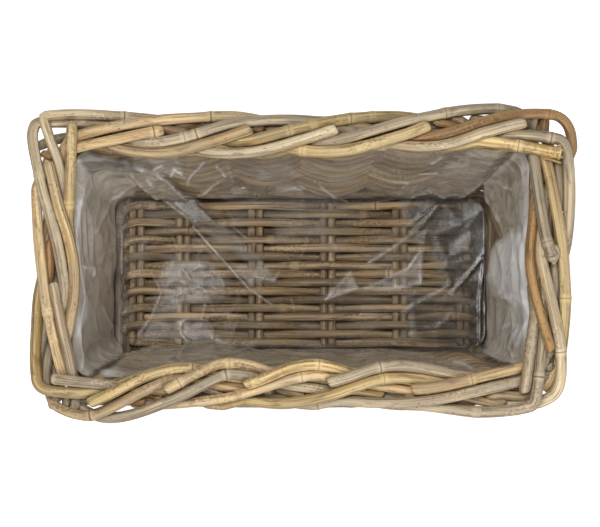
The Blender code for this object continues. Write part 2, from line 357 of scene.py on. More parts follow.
class CaneStock:
    """Straight rattan, modelled once for each count of rings and copied for every cane.

    Its mesh is 1 long along X and 1 in radius, and a cane scales it to size.
    """

    FEWEST_RINGS = 6
    MOST_FIRST_RINGS = 40
    END_INSETS = (0.12, 0.4)

    def __init__(self, sides: int) -> None:
        """Start with no lengths modelled.

        Args:
            sides: Faces round a cane.
        """
        self.sides = sides
        self.lengths: dict[tuple[int, int], Mesh] = {}

    def cut(self, length: float, step: float) -> Mesh:
        """Give a copy of the stock with about one ring a step.

        Args:
            length: Length of the cane.
            step: Distance wanted between rings.

        Returns:
            A mesh of its own.
        """
        segments = max(self.FEWEST_RINGS, math.ceil(length / step))
        first = min(segments, self.MOST_FIRST_RINGS)
        second = math.ceil(segments / first)
        if (first, second) not in self.lengths:
            self.lengths[first, second] = self.model(first - 1, second - 1)
        return self.lengths[first, second].copy()

    def model(self, first_cuts: int, second_cuts: int) -> Mesh:
        """Model a straight length as by hand: a cylinder, cut across and inset at its ends.

        Args:
            first_cuts: Cuts of the whole length.
            second_cuts: Cuts of each stretch that the first ones leave.

        Returns:
            The mesh, which is kept for copies.
        """
        deselect()
        bpy.ops.mesh.primitive_cylinder_add(
            vertices=self.sides, radius=1, depth=1, location=(0.5, 0, 0),
            rotation=(0, math.pi / 2, 0), end_fill_type="NGON",
        )
        stock = bpy.context.object
        bpy.ops.object.transform_apply(location=True, rotation=True, scale=True)
        for cuts in (first_cuts, second_cuts):
            if cuts:
                cut_across(stock, 0, cuts)
        with edit_mode():
            bpy.ops.mesh.select_mode(type="FACE")
            bpy.ops.mesh.select_all(action="DESELECT")
        for face in stock.data.polygons:
            face.select = abs(face.normal.x) > 0.5
        with edit_mode():
            for thickness in self.END_INSETS:
                bpy.ops.mesh.inset(thickness=thickness, use_individual=True)
        bpy.ops.object.shade_smooth()
        mesh = stock.data.copy()
        bpy.data.objects.remove(stock)
        return mesh


THICK_STOCK = CaneStock(14)
THIN_STOCK = CaneStock(10)


@dataclass
class Cane:
    """One length of rattan: its route, its size and its natural marks.

    Sizes are in metres, and tone runs from 0, dark, to 1, light. Shares are of the radius.
    """

    route: Array
    diameter: float
    seed: int
    stock: CaneStock = THICK_STOCK
    step: float = 0.003
    tone: float = 0.5
    joints: tuple[float, ...] = ()
    tip_share: float = 0.86
    tip_reach: float = 0.7
    slant: float = 0.35
    cap_edge: float = 0.95
    bulge_share: float = 0.35
    joint_gap: float = 0.21
    joint_shift: float = 0.6180339
    swell_share: float = 0.09
    swell_width: float = 0.0035
    wobble_share: float = 0.027
    wobble_waves: tuple[float, float] = (47, 113)
    flute_share: float = 0.03
    flutes: int = 3
    flute_twist: float = 9
    phase_step: float = 1.37
    grain_steps: tuple[float, float, float] = (0.731, 0.113, 0.057)

    def length(self) -> float:
        """Give the length of the route."""
        return float(np.linalg.norm(np.diff(self.route, axis=0), axis=1).sum())

    def shape(self) -> Object:
        """Make the cane's mesh, bent along its route.

        Returns:
            The cane, not yet part of a piece.
        """
        length = self.length()
        radius = self.diameter / 2
        mesh = self.stock.cut(length, self.step)
        places = read_places(mesh)
        reach = np.hypot(places[:, 1], places[:, 2])
        cap = reach < self.cap_edge
        along = places[:, 0] * length
        turn = np.arctan2(places[:, 2], places[:, 1])
        joints = np.abs(along[:, None] - self.joint_spots(length)[None, :]).min(axis=1)
        places[:, 1:] *= (radius * self.profile(along, turn, joints, length))[:, None]
        bulge = np.where(cap, (1 - reach) * self.bulge_share * radius, 0.0)
        at_start = places[:, 0] < 0.5
        near_end = np.exp(-np.minimum(along, length - along) / radius)
        lean = self.slant * places[:, 1] * near_end
        places[:, 0] = along + lean + np.where(at_start, -bulge, bulge)
        mesh.vertices.foreach_set("co", places.ravel())
        set_attribute(mesh, "straight", places + self.seed * np.array(self.grain_steps))
        set_attribute(mesh, "joint", joints)
        set_attribute(mesh, "cut", cap.astype(float))
        set_attribute(mesh, "tone", np.full(len(along), self.tone))
        piece = bpy.data.objects.new("cane", mesh)
        bpy.context.scene.collection.objects.link(piece)
        bend_along(piece, self.route)
        return piece

    def profile(self, along: Array, turn: Array, joints: Array, length: float) -> Array:
        """Give the share of the radius that each point of the cane's surface has.

        Args:
            along: Each point's distance from the cane's start.
            turn: Each point's angle round the cane.
            joints: Each point's distance to the nearest joint.
            length: The cane's length.

        Returns:
            A share for each point.
        """
        phase = self.seed * self.phase_step
        slow, quick = self.wobble_waves
        wobble = np.sin(along * slow + phase) + 0.6 * np.sin(along * quick + 2.1 * phase)
        grow = 1 + self.wobble_share * wobble
        grow += self.swell_share * np.exp(-(joints / self.swell_width) ** 2)
        grow += self.flute_share * np.sin(self.flutes * turn + phase + along * self.flute_twist)
        ends = np.minimum(along, length - along) / (self.diameter / 2)
        return grow * (self.tip_share + (1 - self.tip_share) * ease(ends / self.tip_reach))

    def joint_spots(self, length: float) -> Array:
        """Give the distances from the cane's start to its natural joints.

        Args:
            length: The cane's length.

        Returns:
            The known distances, or else even ones.
        """
        if self.joints:
            return np.array(self.joints)
        first = self.joint_gap * ((self.seed * self.joint_shift) % 1.0)
        return np.arange(first, max(length, first) + self.joint_gap, self.joint_gap)


def bend_along(piece: Object, route: Array) -> None:
    """Bend a straight piece that lies along X to follow a route, and keep the result.

    Args:
        piece: The straight piece.
        route: The points to follow.
    """
    curve = bpy.data.curves.new("route", "CURVE")
    curve.dimensions = "3D"
    curve.twist_mode = "MINIMUM"
    spline = curve.splines.new("POLY")
    spline.points.add(len(route) - 1)
    spline.points.foreach_set("co", np.column_stack([route, np.ones(len(route))]).ravel())
    guide = bpy.data.objects.new("route", curve)
    bpy.context.scene.collection.objects.link(guide)
    choose(piece)
    bend = piece.modifiers.new("bend", "CURVE")
    bend.object = guide
    bend.deform_axis = "POS_X"
    bpy.ops.object.modifier_apply(modifier=bend.name)
    bpy.data.objects.remove(guide)
    bpy.data.curves.remove(curve)


def smooth_route(points: list[Vector], step: float) -> Array:
    """Draw a smooth line through points.

    Args:
        points: The points to pass through, in order.
        step: Distance wanted between the points of the line.

    Returns:
        The line's points, evenly spaced.
    """
    knots = np.array([tuple(point) for point in points])
    ahead = 2 * knots[-1] - knots[-2]
    before = 2 * knots[0] - knots[1]
    held = np.vstack([before, knots, ahead])
    times = np.concatenate([[0.0], np.cumsum(np.linalg.norm(np.diff(held, axis=0), axis=1) ** 0.5)])
    line = []
    for index in range(1, len(held) - 2):
        count = max(2, math.ceil(np.linalg.norm(held[index + 1] - held[index]) / (step / 3)))
        time = np.linspace(times[index], times[index + 1], count, endpoint=False)[:, None]
        line.append(blend_four(held[index - 1:index + 3], times[index - 1:index + 3], time))
    return evenly(np.vstack([*line, knots[-1:]]), step)


def blend_four(knots: Array, times: Array, time: Array) -> Array:
    """Blend four points of a route into the smooth stretch between the middle two.

    Args:
        knots: The four points.
        times: When the route passes each of them.
        time: The times wanted, between the middle two.

    Returns:
        A point for each time.
    """
    level = [knots[index] + 0 * time for index in range(4)]
    for depth in (1, 2):
        level = [
            ((times[index + depth] - time) * level[index] + (time - times[index]) * level[index + 1])
            / (times[index + depth] - times[index])
            for index in range(len(level) - 1)
        ]
    return ((times[2] - time) * level[0] + (time - times[1]) * level[1]) / (times[2] - times[1])


def distances_along(line: Array) -> Array:
    """Give each point's distance from the start of a line, measured along it."""
    return np.concatenate([[0.0], np.cumsum(np.linalg.norm(np.diff(line, axis=0), axis=1))])


def evenly(line: Array, step: float) -> Array:
    """Space the points of a line evenly.

    Args:
        line: The line's points.
        step: Distance wanted between points.

    Returns:
        The line with evenly spaced points.
    """
    run = distances_along(line)
    wanted = np.linspace(0, run[-1], max(3, round(run[-1] / step) + 1))
    return np.column_stack([np.interp(wanted, run, line[:, axis]) for axis in range(3)])


def join_canes(name: str, canes: list[Cane]) -> Object:
    """Make one named piece of several canes.

    Args:
        name: The piece's name.
        canes: The canes that it is made of.

    Returns:
        The piece, at the origin.
    """
    shapes = [cane.shape() for cane in canes]
    choose(shapes[0])
    for shape in shapes[1:]:
        shape.select_set(True)
    if len(shapes) > 1:
        bpy.ops.object.join()
    piece = bpy.context.view_layer.objects.active
    piece.name = name
    piece.data.name = name
    return piece


def dress(piece: Object, material: Material, slot: str, *nodes: str) -> None:
    """Give a piece its material and its body, and hide the CAD nodes that it replaces.

    Args:
        piece: The piece.
        material: Its material.
        slot: The record's material slot; not used.
        nodes: The CAD nodes that it replaces.
    """
    piece.data.materials.clear()
    piece.data.materials.append(material)
    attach(piece, BODY)
    if nodes:
        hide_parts(*nodes)
    LOG.info("%s has %d faces", piece.name, len(piece.data.polygons))


class NodeDesk:
    """A node tree with short ways to add nodes and join them."""

    def __init__(self, tree: NodeTree) -> None:
        """Work on one node tree."""
        self.tree = tree

    def add(self, kind: str, **settings: object) -> Node:
        """Add a node and set its properties.

        Args:
            kind: The node's type.
            settings: Its properties.

        Returns:
            The node.
        """
        node = self.tree.nodes.new(kind)
        for name, value in settings.items():
            setattr(node, name, value)
        return node

    def join(self, source: object, target: NodeSocket) -> None:
        """Join an output to an input, or set the input's value.

        Args:
            source: An output, or a value.
            target: The input.
        """
        if isinstance(source, NodeSocket):
            self.tree.links.new(source, target)
        else:
            target.default_value = source

    def math(self, operation: str, first: object, second: object = 0.0,
             clamp: bool = False) -> NodeSocket:
        """Add a Math node.

        Args:
            operation: What it does.
            first: Its first input, an output or a value.
            second: Its second input.
            clamp: Whether the result is held between 0 and 1.

        Returns:
            Its output.
        """
        node = self.add("ShaderNodeMath", operation=operation, use_clamp=clamp)
        self.join(first, node.inputs[0])
        self.join(second, node.inputs[1])
        return node.outputs[0]

    def times(self, first: object, second: object) -> NodeSocket:
        """Multiply two values."""
        return self.math("MULTIPLY", first, second)

    def plus(self, first: object, second: object) -> NodeSocket:
        """Add two values."""
        return self.math("ADD", first, second)

    def ramp(self, value: object, low: float, high: float, start: float = 0.0,
             end: float = 1.0) -> NodeSocket:
        """Map a value from a range onto another, smoothly and held at both ends.

        Args:
            value: The value, an output.
            low: Where the range starts.
            high: Where it ends.
            start: The result at low.
            end: The result at high.

        Returns:
            The result.
        """
        node = self.add("ShaderNodeMapRange", interpolation_type="SMOOTHSTEP")
        for name, number in (("From Min", low), ("From Max", high), ("To Min", start), ("To Max", end)):
            node.inputs[name].default_value = number
        self.join(value, node.inputs["Value"])
        return node.outputs["Result"]

    def mix(self, share: object, first: object, second: object) -> NodeSocket:
        """Mix two colours.

        Args:
            share: Share of the second colour.
            first: The first colour.
            second: The second colour.

        Returns:
            The mixed colour.
        """
        node = self.add("ShaderNodeMix", data_type="RGBA")
        self.join(share, node.inputs["Factor"])
        self.join(first, node.inputs["A"])
        self.join(second, node.inputs["B"])
        return node.outputs["Result"]

    def noise(self, place: object, scale: tuple[float, float, float], detail: float = 2.0,
              distortion: float = 0.0) -> NodeSocket:
        """Add a noise with its own scale along each axis.

        Args:
            place: The coordinates, an output.
            scale: The scale along X, Y and Z.
            detail: How much fine detail it has.
            distortion: How much it is warped.

        Returns:
            Its value.
        """
        stretch = self.add("ShaderNodeVectorMath", operation="MULTIPLY")
        self.join(place, stretch.inputs[0])
        stretch.inputs[1].default_value = scale
        node = self.add("ShaderNodeTexNoise")
        for name, value in (("Scale", 1.0), ("Detail", detail), ("Distortion", distortion)):
            node.inputs[name].default_value = value
        self.join(stretch.outputs[0], node.inputs["Vector"])
        return node.outputs["Fac"]

    def attribute(self, name: str, output: str = "Fac") -> NodeSocket:
        """Read an attribute of the piece's points."""
        return self.add("ShaderNodeAttribute", attribute_name=name).outputs[output]

    def bump(self, height: object, strength: float, distance: float) -> NodeSocket:
        """Turn a height into a normal.

        Args:
            height: The height, an output.
            strength: How strongly it shows.
            distance: How high a height of 1 is, in metres.

        Returns:
            The normal.
        """
        node = self.add("ShaderNodeBump")
        node.inputs["Strength"].default_value = strength
        node.inputs["Distance"].default_value = distance
        self.join(height, node.inputs["Height"])
        return node.outputs["Normal"]


def new_group(name: str, inputs: dict[str, str], outputs: dict[str, str]) -> tuple[NodeDesk, object, object]:
    """Start a shader node group.

    Args:
        name: The group's name.
        inputs: Its inputs' names and socket types.
        outputs: Its outputs' names and socket types.

    Returns:
        The group's node desk, its input node and its output node.
    """
    tree = bpy.data.node_groups.new(name, "ShaderNodeTree")
    for way, sockets in (("INPUT", inputs), ("OUTPUT", outputs)):
        for label, kind in sockets.items():
            tree.interface.new_socket(name=label, in_out=way, socket_type=kind)
    desk = NodeDesk(tree)
    return desk, desk.add("NodeGroupInput"), desk.add("NodeGroupOutput")


def new_material(name: str) -> tuple[Material, NodeDesk, Node]:
    """Start a material.

    Args:
        name: The material's name.

    Returns:
        The material, its node desk and its Principled BSDF.
    """
    made = bpy.data.materials.new(name)
    made.use_nodes = True
    return made, NodeDesk(made.node_tree), made.node_tree.nodes["Principled BSDF"]


class RattanSurface:
    """The surface of rattan, built once as a node group: fibres, weathering, specks, joints and ends.

    A noise has its scale along and across the cane, its detail and its distortion. A layer has its
    mark, its strength and the colour that it brings, and a height has its mark and its strength.
    """

    NOISES = {
        "fibres": ((14, 900, 900), 3.0, 0.0),
        "streaks": ((7, 330, 330), 2.0, 0.0),
        "furrows": ((10, 520, 520), 2.0, 0.4),
        "patches": ((16, 75, 75), 3.0, 0.6),
        "stains": ((60, 240, 240), 3.0, 0.3),
        "mottle": ((420, 420, 420), 3.0, 0.0),
        "mottled": ((22, 40, 40), 2.0, 0.0),
        "pits": ((330, 900, 900), 1.0, 0.0),
    }
    LAYERS = (
        ("pale_streaks", 1.0, "Pale"), ("weathered", 1.0, "Weather"), ("dark_fibres", 0.5, "Dark"),
        ("dark_furrows", 0.6, "Dark"), ("dark_stains", 0.5, "Dark"), ("light_spots", 0.5, "Pale"),
        ("dark_spots", 0.35, "Dark"), ("specks", 0.8, "Dark"), ("band", 0.5, "Pale"), ("ring", 0.75, "Dark"),
    )
    HEIGHTS = (("fibres", 0.7), ("specks", -0.4), ("ring", -0.8), ("deep_furrows", -0.8), ("lumps", 1.2))
    END_SHARE = 0.8
    TONES = (0.60, 1.24)
    ROUGHNESS = (0.50, 0.68)

    def build(self) -> NodeTree:
        """Build the node group.

        Returns:
            The group, for each finish's material.
        """
        number, colour = "NodeSocketFloat", "NodeSocketColor"
        desk, given, made = new_group(
            "rattan_surface",
            {"Straight": "NodeSocketVector", "Joint": number, "Cut": number, "Tone": number,
             "Body": colour, "Pale": colour, "Dark": colour, "Weather": colour, "Weathering": number},
            {"Colour": colour, "Roughness": number, "Height": number},
        )
        marks = self.marks(desk, given.outputs)
        desk.join(self.colour(desk, given.outputs, marks), made.inputs["Colour"])
        desk.join(desk.ramp(marks["streaks"], 0.3, 0.7, *self.ROUGHNESS), made.inputs["Roughness"])
        (first, share), *others = self.HEIGHTS
        height = desk.times(marks[first], share)
        for name, share in others:
            height = desk.plus(height, desk.times(marks[name], share))
        desk.join(height, made.inputs["Height"])
        return desk.tree

    def marks(self, desk: NodeDesk, given: bpy.types.bpy_prop_collection) -> dict[str, NodeSocket]:
        """Make the noises, and the marks that they and the joints leave on the cane.

        Args:
            desk: The group's node desk.
            given: What the group is given.

        Returns:
            Each noise and each mark by its name.
        """
        marks = {name: desk.noise(given["Straight"], *noise) for name, noise in self.NOISES.items()}
        rough_part = desk.ramp(marks["mottled"], 0.52, 0.62)
        marks["pale_streaks"] = desk.ramp(marks["streaks"], 0.42, 0.58)
        marks["weathered"] = desk.times(desk.ramp(marks["patches"], 0.42, 0.58), given["Weathering"])
        marks["dark_fibres"] = desk.ramp(marks["fibres"], 0.52, 0.66)
        marks["dark_furrows"] = desk.ramp(marks["furrows"], 0.57, 0.67)
        marks["deep_furrows"] = desk.ramp(marks["furrows"], 0.52, 0.68)
        marks["dark_stains"] = desk.ramp(marks["stains"], 0.56, 0.70)
        marks["light_spots"] = desk.times(rough_part, desk.ramp(marks["mottle"], 0.52, 0.62))
        marks["dark_spots"] = desk.times(rough_part, desk.ramp(marks["mottle"], 0.38, 0.46, 1.0, 0.0))
        marks["lumps"] = desk.times(marks["mottle"], rough_part)
        marks["specks"] = desk.ramp(marks["pits"], 0.68, 0.74)
        marks["band"] = desk.ramp(given["Joint"], 1.6 * MM, 4.8 * MM, 1.0, 0.0)
        marks["ring"] = desk.ramp(given["Joint"], 0.4 * MM, 1.1 * MM, 1.0, 0.0)
        return marks

    def colour(self, desk: NodeDesk, given: bpy.types.bpy_prop_collection,
               marks: dict[str, NodeSocket]) -> NodeSocket:
        """Lay the marks' colours over each other, and then the cane's own tone.

        Args:
            desk: The group's node desk.
            given: What the group is given.
            marks: Each mark by its name.

        Returns:
            The colour.
        """
        shade = given["Body"]
        for name, share, brought in self.LAYERS:
            shade = desk.mix(desk.times(marks[name], share), shade, given[brought])
        end = desk.mix(desk.ramp(marks["fibres"], 0.4, 0.62), given["Pale"], given["Dark"])
        shade = desk.mix(desk.times(given["Cut"], self.END_SHARE), shade, end)
        tint = desk.add("ShaderNodeHueSaturation")
        desk.join(shade, tint.inputs["Color"])
        desk.join(desk.ramp(given["Tone"], 0.0, 1.0, *self.TONES), tint.inputs["Value"])
        return tint.outputs["Color"]


@dataclass(frozen=True)
class RattanFinish:
    """How one shade of rattan looks."""

    slot: str
    body: Colour
    pale: Colour
    dark: Colour
    weather: Colour
    weathering: float
    relief: float = 0.35
    relief_depth: float = 0.3 * MM
    gloss: float = 0.35

    def material(self, surface: NodeTree) -> Material:
        """Build the material round the shared rattan surface.

        Args:
            surface: The rattan surface's node group.

        Returns:
            The material.
        """
        made, desk, shader = new_material(self.slot)
        group = desk.add("ShaderNodeGroup", node_tree=surface)
        desk.join(desk.attribute("straight", "Vector"), group.inputs["Straight"])
        for name in ("joint", "cut", "tone"):
            desk.join(desk.attribute(name), group.inputs[name.capitalize()])
        colours = {"Body": self.body, "Pale": self.pale, "Dark": self.dark, "Weather": self.weather}
        for name, colour in colours.items():
            group.inputs[name].default_value = linear(*colour)
        group.inputs["Weathering"].default_value = self.weathering
        desk.join(group.outputs["Colour"], shader.inputs["Base Color"])
        desk.join(group.outputs["Roughness"], shader.inputs["Roughness"])
        normal = desk.bump(group.outputs["Height"], self.relief, self.relief_depth)
        desk.join(normal, shader.inputs["Normal"])
        shader.inputs["Specular IOR Level"].default_value = self.gloss
        return made


class Shade(Enum):
    """The shades of rattan in the planter, each with its slot's finish."""

    PALE = RattanFinish("pale_cane", (189, 162, 120), (228, 210, 174), (96, 72, 46), (172, 158, 134), 0.6)
    YELLOW = RattanFinish("yellow_cane", (181, 149, 94), (222, 196, 142), (98, 70, 38), (170, 152, 118), 0.5)
    TAN = RattanFinish("tan_cane", (171, 139, 95), (210, 184, 140), (88, 64, 42), (160, 144, 118), 0.55)
    GREY = RattanFinish("grey_cane", (156, 136, 107), (198, 180, 149), (84, 66, 48), (158, 146, 124), 0.7)
    BROWN = RattanFinish("brown_cane", (140, 103, 62), (178, 140, 92), (72, 46, 26), (136, 114, 84), 0.4)
    # The wall's and floor's finishes are darker than the border's: partly the canes' own colour, and partly
    # painted shade of the basket's inside.
    WALL = RattanFinish("wall_cane", (154, 126, 90), (178, 152, 116), (70, 50, 34), (128, 112, 92), 0.6)
    FLOOR = RattanFinish("floor_cane", (131, 106, 74), (178, 154, 118), (58, 42, 28), (122, 106, 84), 0.6)


Materials = dict[Shade, Material]


@dataclass(frozen=True)
class BorderCane:
    """One cane of the border: where the photograph shows it, and its shade.

    The route is in the photograph's pixels, across and down in turn, from where the cane comes
    into sight to its end, and joints are the pixels where it has a natural joint.
    """

    route: Pixels
    shade: Shade
    diameter: float = 0.0091
    tone: float = 0.5
    joints: Pixels = ()
    tip_share: float = 0.9
    slant: float = 0.3


PALE, YELLOW, TAN, GREY, BROWN = (Shade.PALE, Shade.YELLOW, Shade.TAN, Shade.GREY, Shade.BROWN)

# Each row gives a cane's fields in order, with the points' pixels across and down in turn.
LONG_CANES = {pair: BorderCane(*row) for pair, row in {
    15: ((70, 137, 82, 134, 116, 126, 144, 122, 170, 119, 194, 118, 210, 117, 222, 116, 240, 116), TAN,
        0.0091, 0.6, (210, 117)),
    16: ((128, 142, 140, 143, 150, 143, 160, 143, 175, 140, 184, 137, 196, 135, 211, 129, 232, 123, 252,
        121, 272, 120, 293, 120, 310, 121, 325, 123), GREY, 0.0091, 0.65, (184, 137, 196, 135)),
    17: ((228, 141, 237, 142, 252, 140, 267, 136, 283, 132, 290, 131, 300, 128, 312, 125, 324, 123, 338,
        120, 350, 118, 372, 117, 391, 116, 410, 117), YELLOW, 0.0098, 0.22, (289, 131, 312, 125, 350,
        118, 372, 117)),
    18: ((312, 143, 320, 143, 329, 141, 338, 140, 357, 135, 376, 130, 396, 124, 415, 119, 434, 116, 445,
        113, 452, 111, 473, 110, 495, 108, 506, 109, 518, 111), GREY, 0.0092, 0.45, (445, 113, 500,
        108)),
    1: ((411, 139, 430, 137, 452, 133, 473, 125, 495, 118, 511, 115, 528, 114, 544, 113, 555, 114, 563,
        118, 569, 125, 572, 133, 573, 142, 573, 150), BROWN, 0.0091, 0.45),
    2: ((500, 134, 517, 135, 538, 136, 550, 137, 560, 138, 566, 143, 568, 151, 569, 166, 570, 188, 570,
        200, 569, 217, 568, 233, 566, 248), GREY, 0.0098, 0.55, (550, 137)),
    3: ((547, 158, 548, 163, 550, 177, 554, 198, 558, 217, 561, 233, 563, 250, 564, 266, 565, 283, 566,
        298, 565, 316, 564, 332, 562, 344), YELLOW, 0.0096, 0.5, (566, 298)),
    4: ((541, 244, 539, 250, 541, 258, 543, 266, 547, 283, 551, 299, 555, 318, 558, 331, 560, 342, 561,
        355, 562, 364, 562, 375, 560, 386, 556, 394, 548, 400, 538, 404), PALE, 0.0096, 0.55, (561,
        352)),
    5: ((543, 330, 542, 345, 541, 354, 540, 366, 539, 378, 538, 391, 537, 402, 533, 407, 527, 409, 506,
        411, 477, 413, 457, 410, 441, 408, 430, 407, 418, 404), GREY, 0.0094, 0.6, (539, 377, 477,
        413)),
    6: ((530, 380, 517, 382, 495, 387, 473, 392, 451, 397, 430, 401, 412, 402, 392, 403, 372, 403, 351,
        401, 335, 399), GREY, 0.009, 0.6),
    7: ((430, 381, 422, 379, 402, 378, 384, 377, 372, 381, 351, 388, 331, 395, 310, 400, 290, 404, 274,
        404, 260, 402, 244, 398), YELLOW, 0.0092, 0.4, (384, 377)),
    8: ((335, 377, 326, 375, 310, 375, 300, 377, 290, 380, 284, 381, 265, 387, 246, 393, 227, 398, 207,
        401, 188, 403, 173, 404), TAN, 0.0082, 0.8),
    9: ((268, 378, 256, 376, 246, 375, 236, 373, 226, 373, 217, 377, 198, 388, 179, 397, 160, 405, 150,
        409, 135, 414, 120, 418, 111, 419, 98, 418), GREY, 0.0088, 0.5, (226, 373)),
    10: ((178, 376, 166, 381, 154, 387, 135, 395, 116, 406, 101, 413, 92, 417, 77, 416, 63, 411, 53,
        405), TAN, 0.0087, 0.45, (91, 416)),
    11: ((100, 391, 92, 393, 77, 393, 58, 392, 47, 392, 39, 388, 35, 381, 35, 368, 35, 349, 36, 332, 37,
        316, 37, 303, 39, 290), YELLOW, 0.0094, 0.35),
    12: ((62, 377, 60, 371, 58, 358, 53, 339, 49, 322, 45, 299, 43, 281, 41, 264, 39, 247, 38, 230, 37,
        212, 36, 200, 35, 188), TAN, 0.0091, 0.75),
    13: ((64, 300, 66, 293, 64, 281, 61, 264, 58, 247, 54, 229, 49, 212, 45, 200, 40, 181, 37, 162, 33,
        148, 31, 138, 32, 129, 36, 122, 46, 122, 70, 122, 92, 123), GREY, 0.0094, 0.6),
    14: ((62, 178, 60, 171, 59, 162, 53, 147, 47, 133, 44, 123, 42, 116, 47, 114, 58, 114, 77, 114, 96,
        115, 116, 116, 135, 117, 146, 118), PALE, 0.0085, 0.45),
}.items()}

SHORT_CANES = {pair: BorderCane(*row) for pair, row in {
    14: ((66, 222, 68, 207, 69, 195, 70, 181, 71, 162, 72, 148, 72, 135, 72, 125), YELLOW, 0.0095, 0.5),
    15: ((70, 149, 81, 147, 96, 143, 116, 140, 135, 136, 154, 132, 162, 131), TAN, 0.0089, 0.75),
    16: ((112, 147, 125, 149, 135, 151, 152, 153, 170, 153, 191, 148, 211, 142, 232, 136, 247, 132, 251,
        131), TAN, 0.0094, 0.55),
    17: ((195, 151, 206, 153, 216, 154, 232, 154, 252, 153, 272, 149, 293, 143, 310, 138, 329, 133, 336,
        131), PALE, 0.0092, 0.45),
    18: ((288, 146, 300, 150, 310, 152, 329, 152, 348, 150, 367, 146, 386, 141, 405, 135, 420, 130, 428,
        127), YELLOW, 0.0098, 0.6),
    1: ((390, 143, 405, 146, 424, 147, 437, 146, 452, 144, 473, 138, 495, 131, 511, 126, 524, 123),
        PALE, 0.0094, 0.5),
    2: ((478, 140, 487, 141, 495, 142, 511, 143, 528, 148, 544, 151, 555, 153, 561, 153), YELLOW,
        0.0098, 0.65, (), 1.3),
    3: ((534, 150, 534, 157, 536, 177, 539, 198, 542, 217, 544, 233, 546, 243, 550, 255), GREY, 0.0098,
        0.4, (546, 243), 1.2),
    4: ((534, 214, 533, 225, 530, 241, 529, 258, 531, 275, 534, 291, 538, 308, 542, 322, 545, 333, 549,
        350), BROWN, 0.0086, 0.5),
    5: ((537, 312, 534, 325, 532, 342, 528, 363, 526, 380, 524, 391), GREY, 0.0096, 0.5),
    6: ((531, 365, 522, 367, 506, 371, 484, 376, 462, 381, 447, 385, 433, 388, 421, 389, 413, 389), TAN,
        0.0095, 0.5),
    7: ((462, 377, 456, 375, 446, 373, 433, 369, 412, 366, 392, 364, 379, 367, 361, 372, 344, 379, 328,
        382), GREY, 0.0096, 0.6, (379, 367)),
    8: ((350, 374, 343, 371, 336, 369, 326, 365, 318, 363, 305, 364, 295, 366, 284, 369, 265, 378, 253,
        382, 246, 384), YELLOW, 0.0091, 0.6, (318, 363)),
    9: ((270, 374, 262, 371, 255, 368, 246, 365, 231, 362, 217, 363, 207, 368, 193, 375, 183, 380, 172,
        386, 165, 389), TAN, 0.0089, 0.6, (179, 382, 229, 362)),
    10: ((206, 371, 197, 368, 188, 367, 174, 368, 162, 370, 152, 373, 135, 380, 116, 390, 101, 397, 90,
        402), YELLOW, 0.0094, 0.5),
    11: ((118, 388, 108, 386, 96, 384, 77, 382, 62, 380, 53, 379), GREY, 0.0087, 0.7),
    12: ((74, 385, 72, 374, 69, 358, 65, 339, 61, 323, 57, 300, 55, 290, 54, 284), GREY, 0.009, 0.55),
    13: ((68, 332, 70, 322, 72, 312, 74, 300, 75, 289, 75, 272, 73, 255, 69, 238, 65, 221, 59, 204, 54,
        188, 51, 172, 50, 163), TAN, 0.0094, 0.65),
}.items()}

UNDER_CANES = tuple(BorderCane(*row) for row in (
    ((480, 390, 495, 395, 517, 397, 536, 400), TAN, 0.008, 0.4),
    ((460, 396, 473, 399, 495, 402, 505, 405), TAN, 0.0078, 0.25),
    ((436, 397, 445, 402, 473, 408), BROWN, 0.007, 0.35),
    ((362, 381, 371, 386, 392, 393, 415, 399), TAN, 0.0074, 0.35),
    ((348, 385, 357, 390, 383, 398), YELLOW, 0.0074, 0.3),
    ((288, 379, 296, 383, 322, 393, 332, 397), GREY, 0.0076, 0.4),
    ((275, 387, 293, 395, 303, 400), YELLOW, 0.007, 0.3),
    ((209, 374, 217, 380, 237, 391), BROWN, 0.0084, 0.75),
    ((196, 384, 207, 390, 222, 396), GREY, 0.0078, 0.25),
    ((134, 392, 150, 396, 164, 399), BROWN, 0.0074, 0.6),
    ((118, 397, 133, 402, 146, 406), BROWN, 0.0074, 0.5),
    ((49, 348, 48, 366, 47, 384, 48, 392), GREY, 0.0086, 0),
    ((66, 392, 67, 401, 67, 410), GREY, 0.0074, 0),
    ((77, 394, 76, 402, 77, 411), GREY, 0.0084, 0.05),
    ((56, 395, 54, 401, 51, 405), GREY, 0.007, 0),
    ((50, 362, 56, 380, 60, 392), GREY, 0.0072, 0),
    ((55, 236, 52, 247, 48, 276, 44, 290), BROWN, 0.0078, 0.8),
    ((51, 205, 47, 221, 43, 240), BROWN, 0.0074, 0.2),
    ((48, 305, 46, 320, 42, 358, 40, 372), GREY, 0.0074, 0.3),
    ((155, 125, 163, 128, 178, 133, 186, 136), TAN, 0.0078, 0.35),
    ((176, 122, 188, 125, 205, 130), BROWN, 0.0076, 0.2),
    ((238, 122, 252, 128, 262, 132), BROWN, 0.0078, 0.1),
    ((330, 122, 340, 127, 354, 132, 362, 135), GREY, 0.0074, 0.45),
    ((345, 120, 352, 124, 367, 129, 376, 133), TAN, 0.0076, 0.3),
    ((432, 119, 440, 122, 457, 129, 466, 133), BROWN, 0.0076, 0.6),
    ((446, 117, 455, 120, 463, 124, 472, 128), TAN, 0.0076, 0.35),
    ((470, 119, 482, 119, 500, 122), TAN, 0.007, 0.3),
    ((532, 112, 532, 122, 533, 136), GREY, 0.0064, 0.1),
    ((541, 112, 542, 122, 543, 136), BROWN, 0.0086, 0.35),
    ((557, 150, 558, 162, 559, 188, 561, 210), GREY, 0.0076, 0.15),
    ((561, 250, 557, 266, 554, 290, 551, 310), GREY, 0.0076, 0.35),
    ((38, 146, 44, 145, 61, 140, 70, 137), GREY, 0.0088, 0),
    ((43, 152, 46, 155, 56, 158), BROWN, 0.007, 0.7),
    ((66, 120, 77, 123, 97, 128, 112, 133), BROWN, 0.0074, 0.35),
    ((546, 346, 546, 360, 545, 374), GREY, 0.008, 0),
    ((540, 367, 546, 366, 553, 367), GREY, 0.008, 0),
))

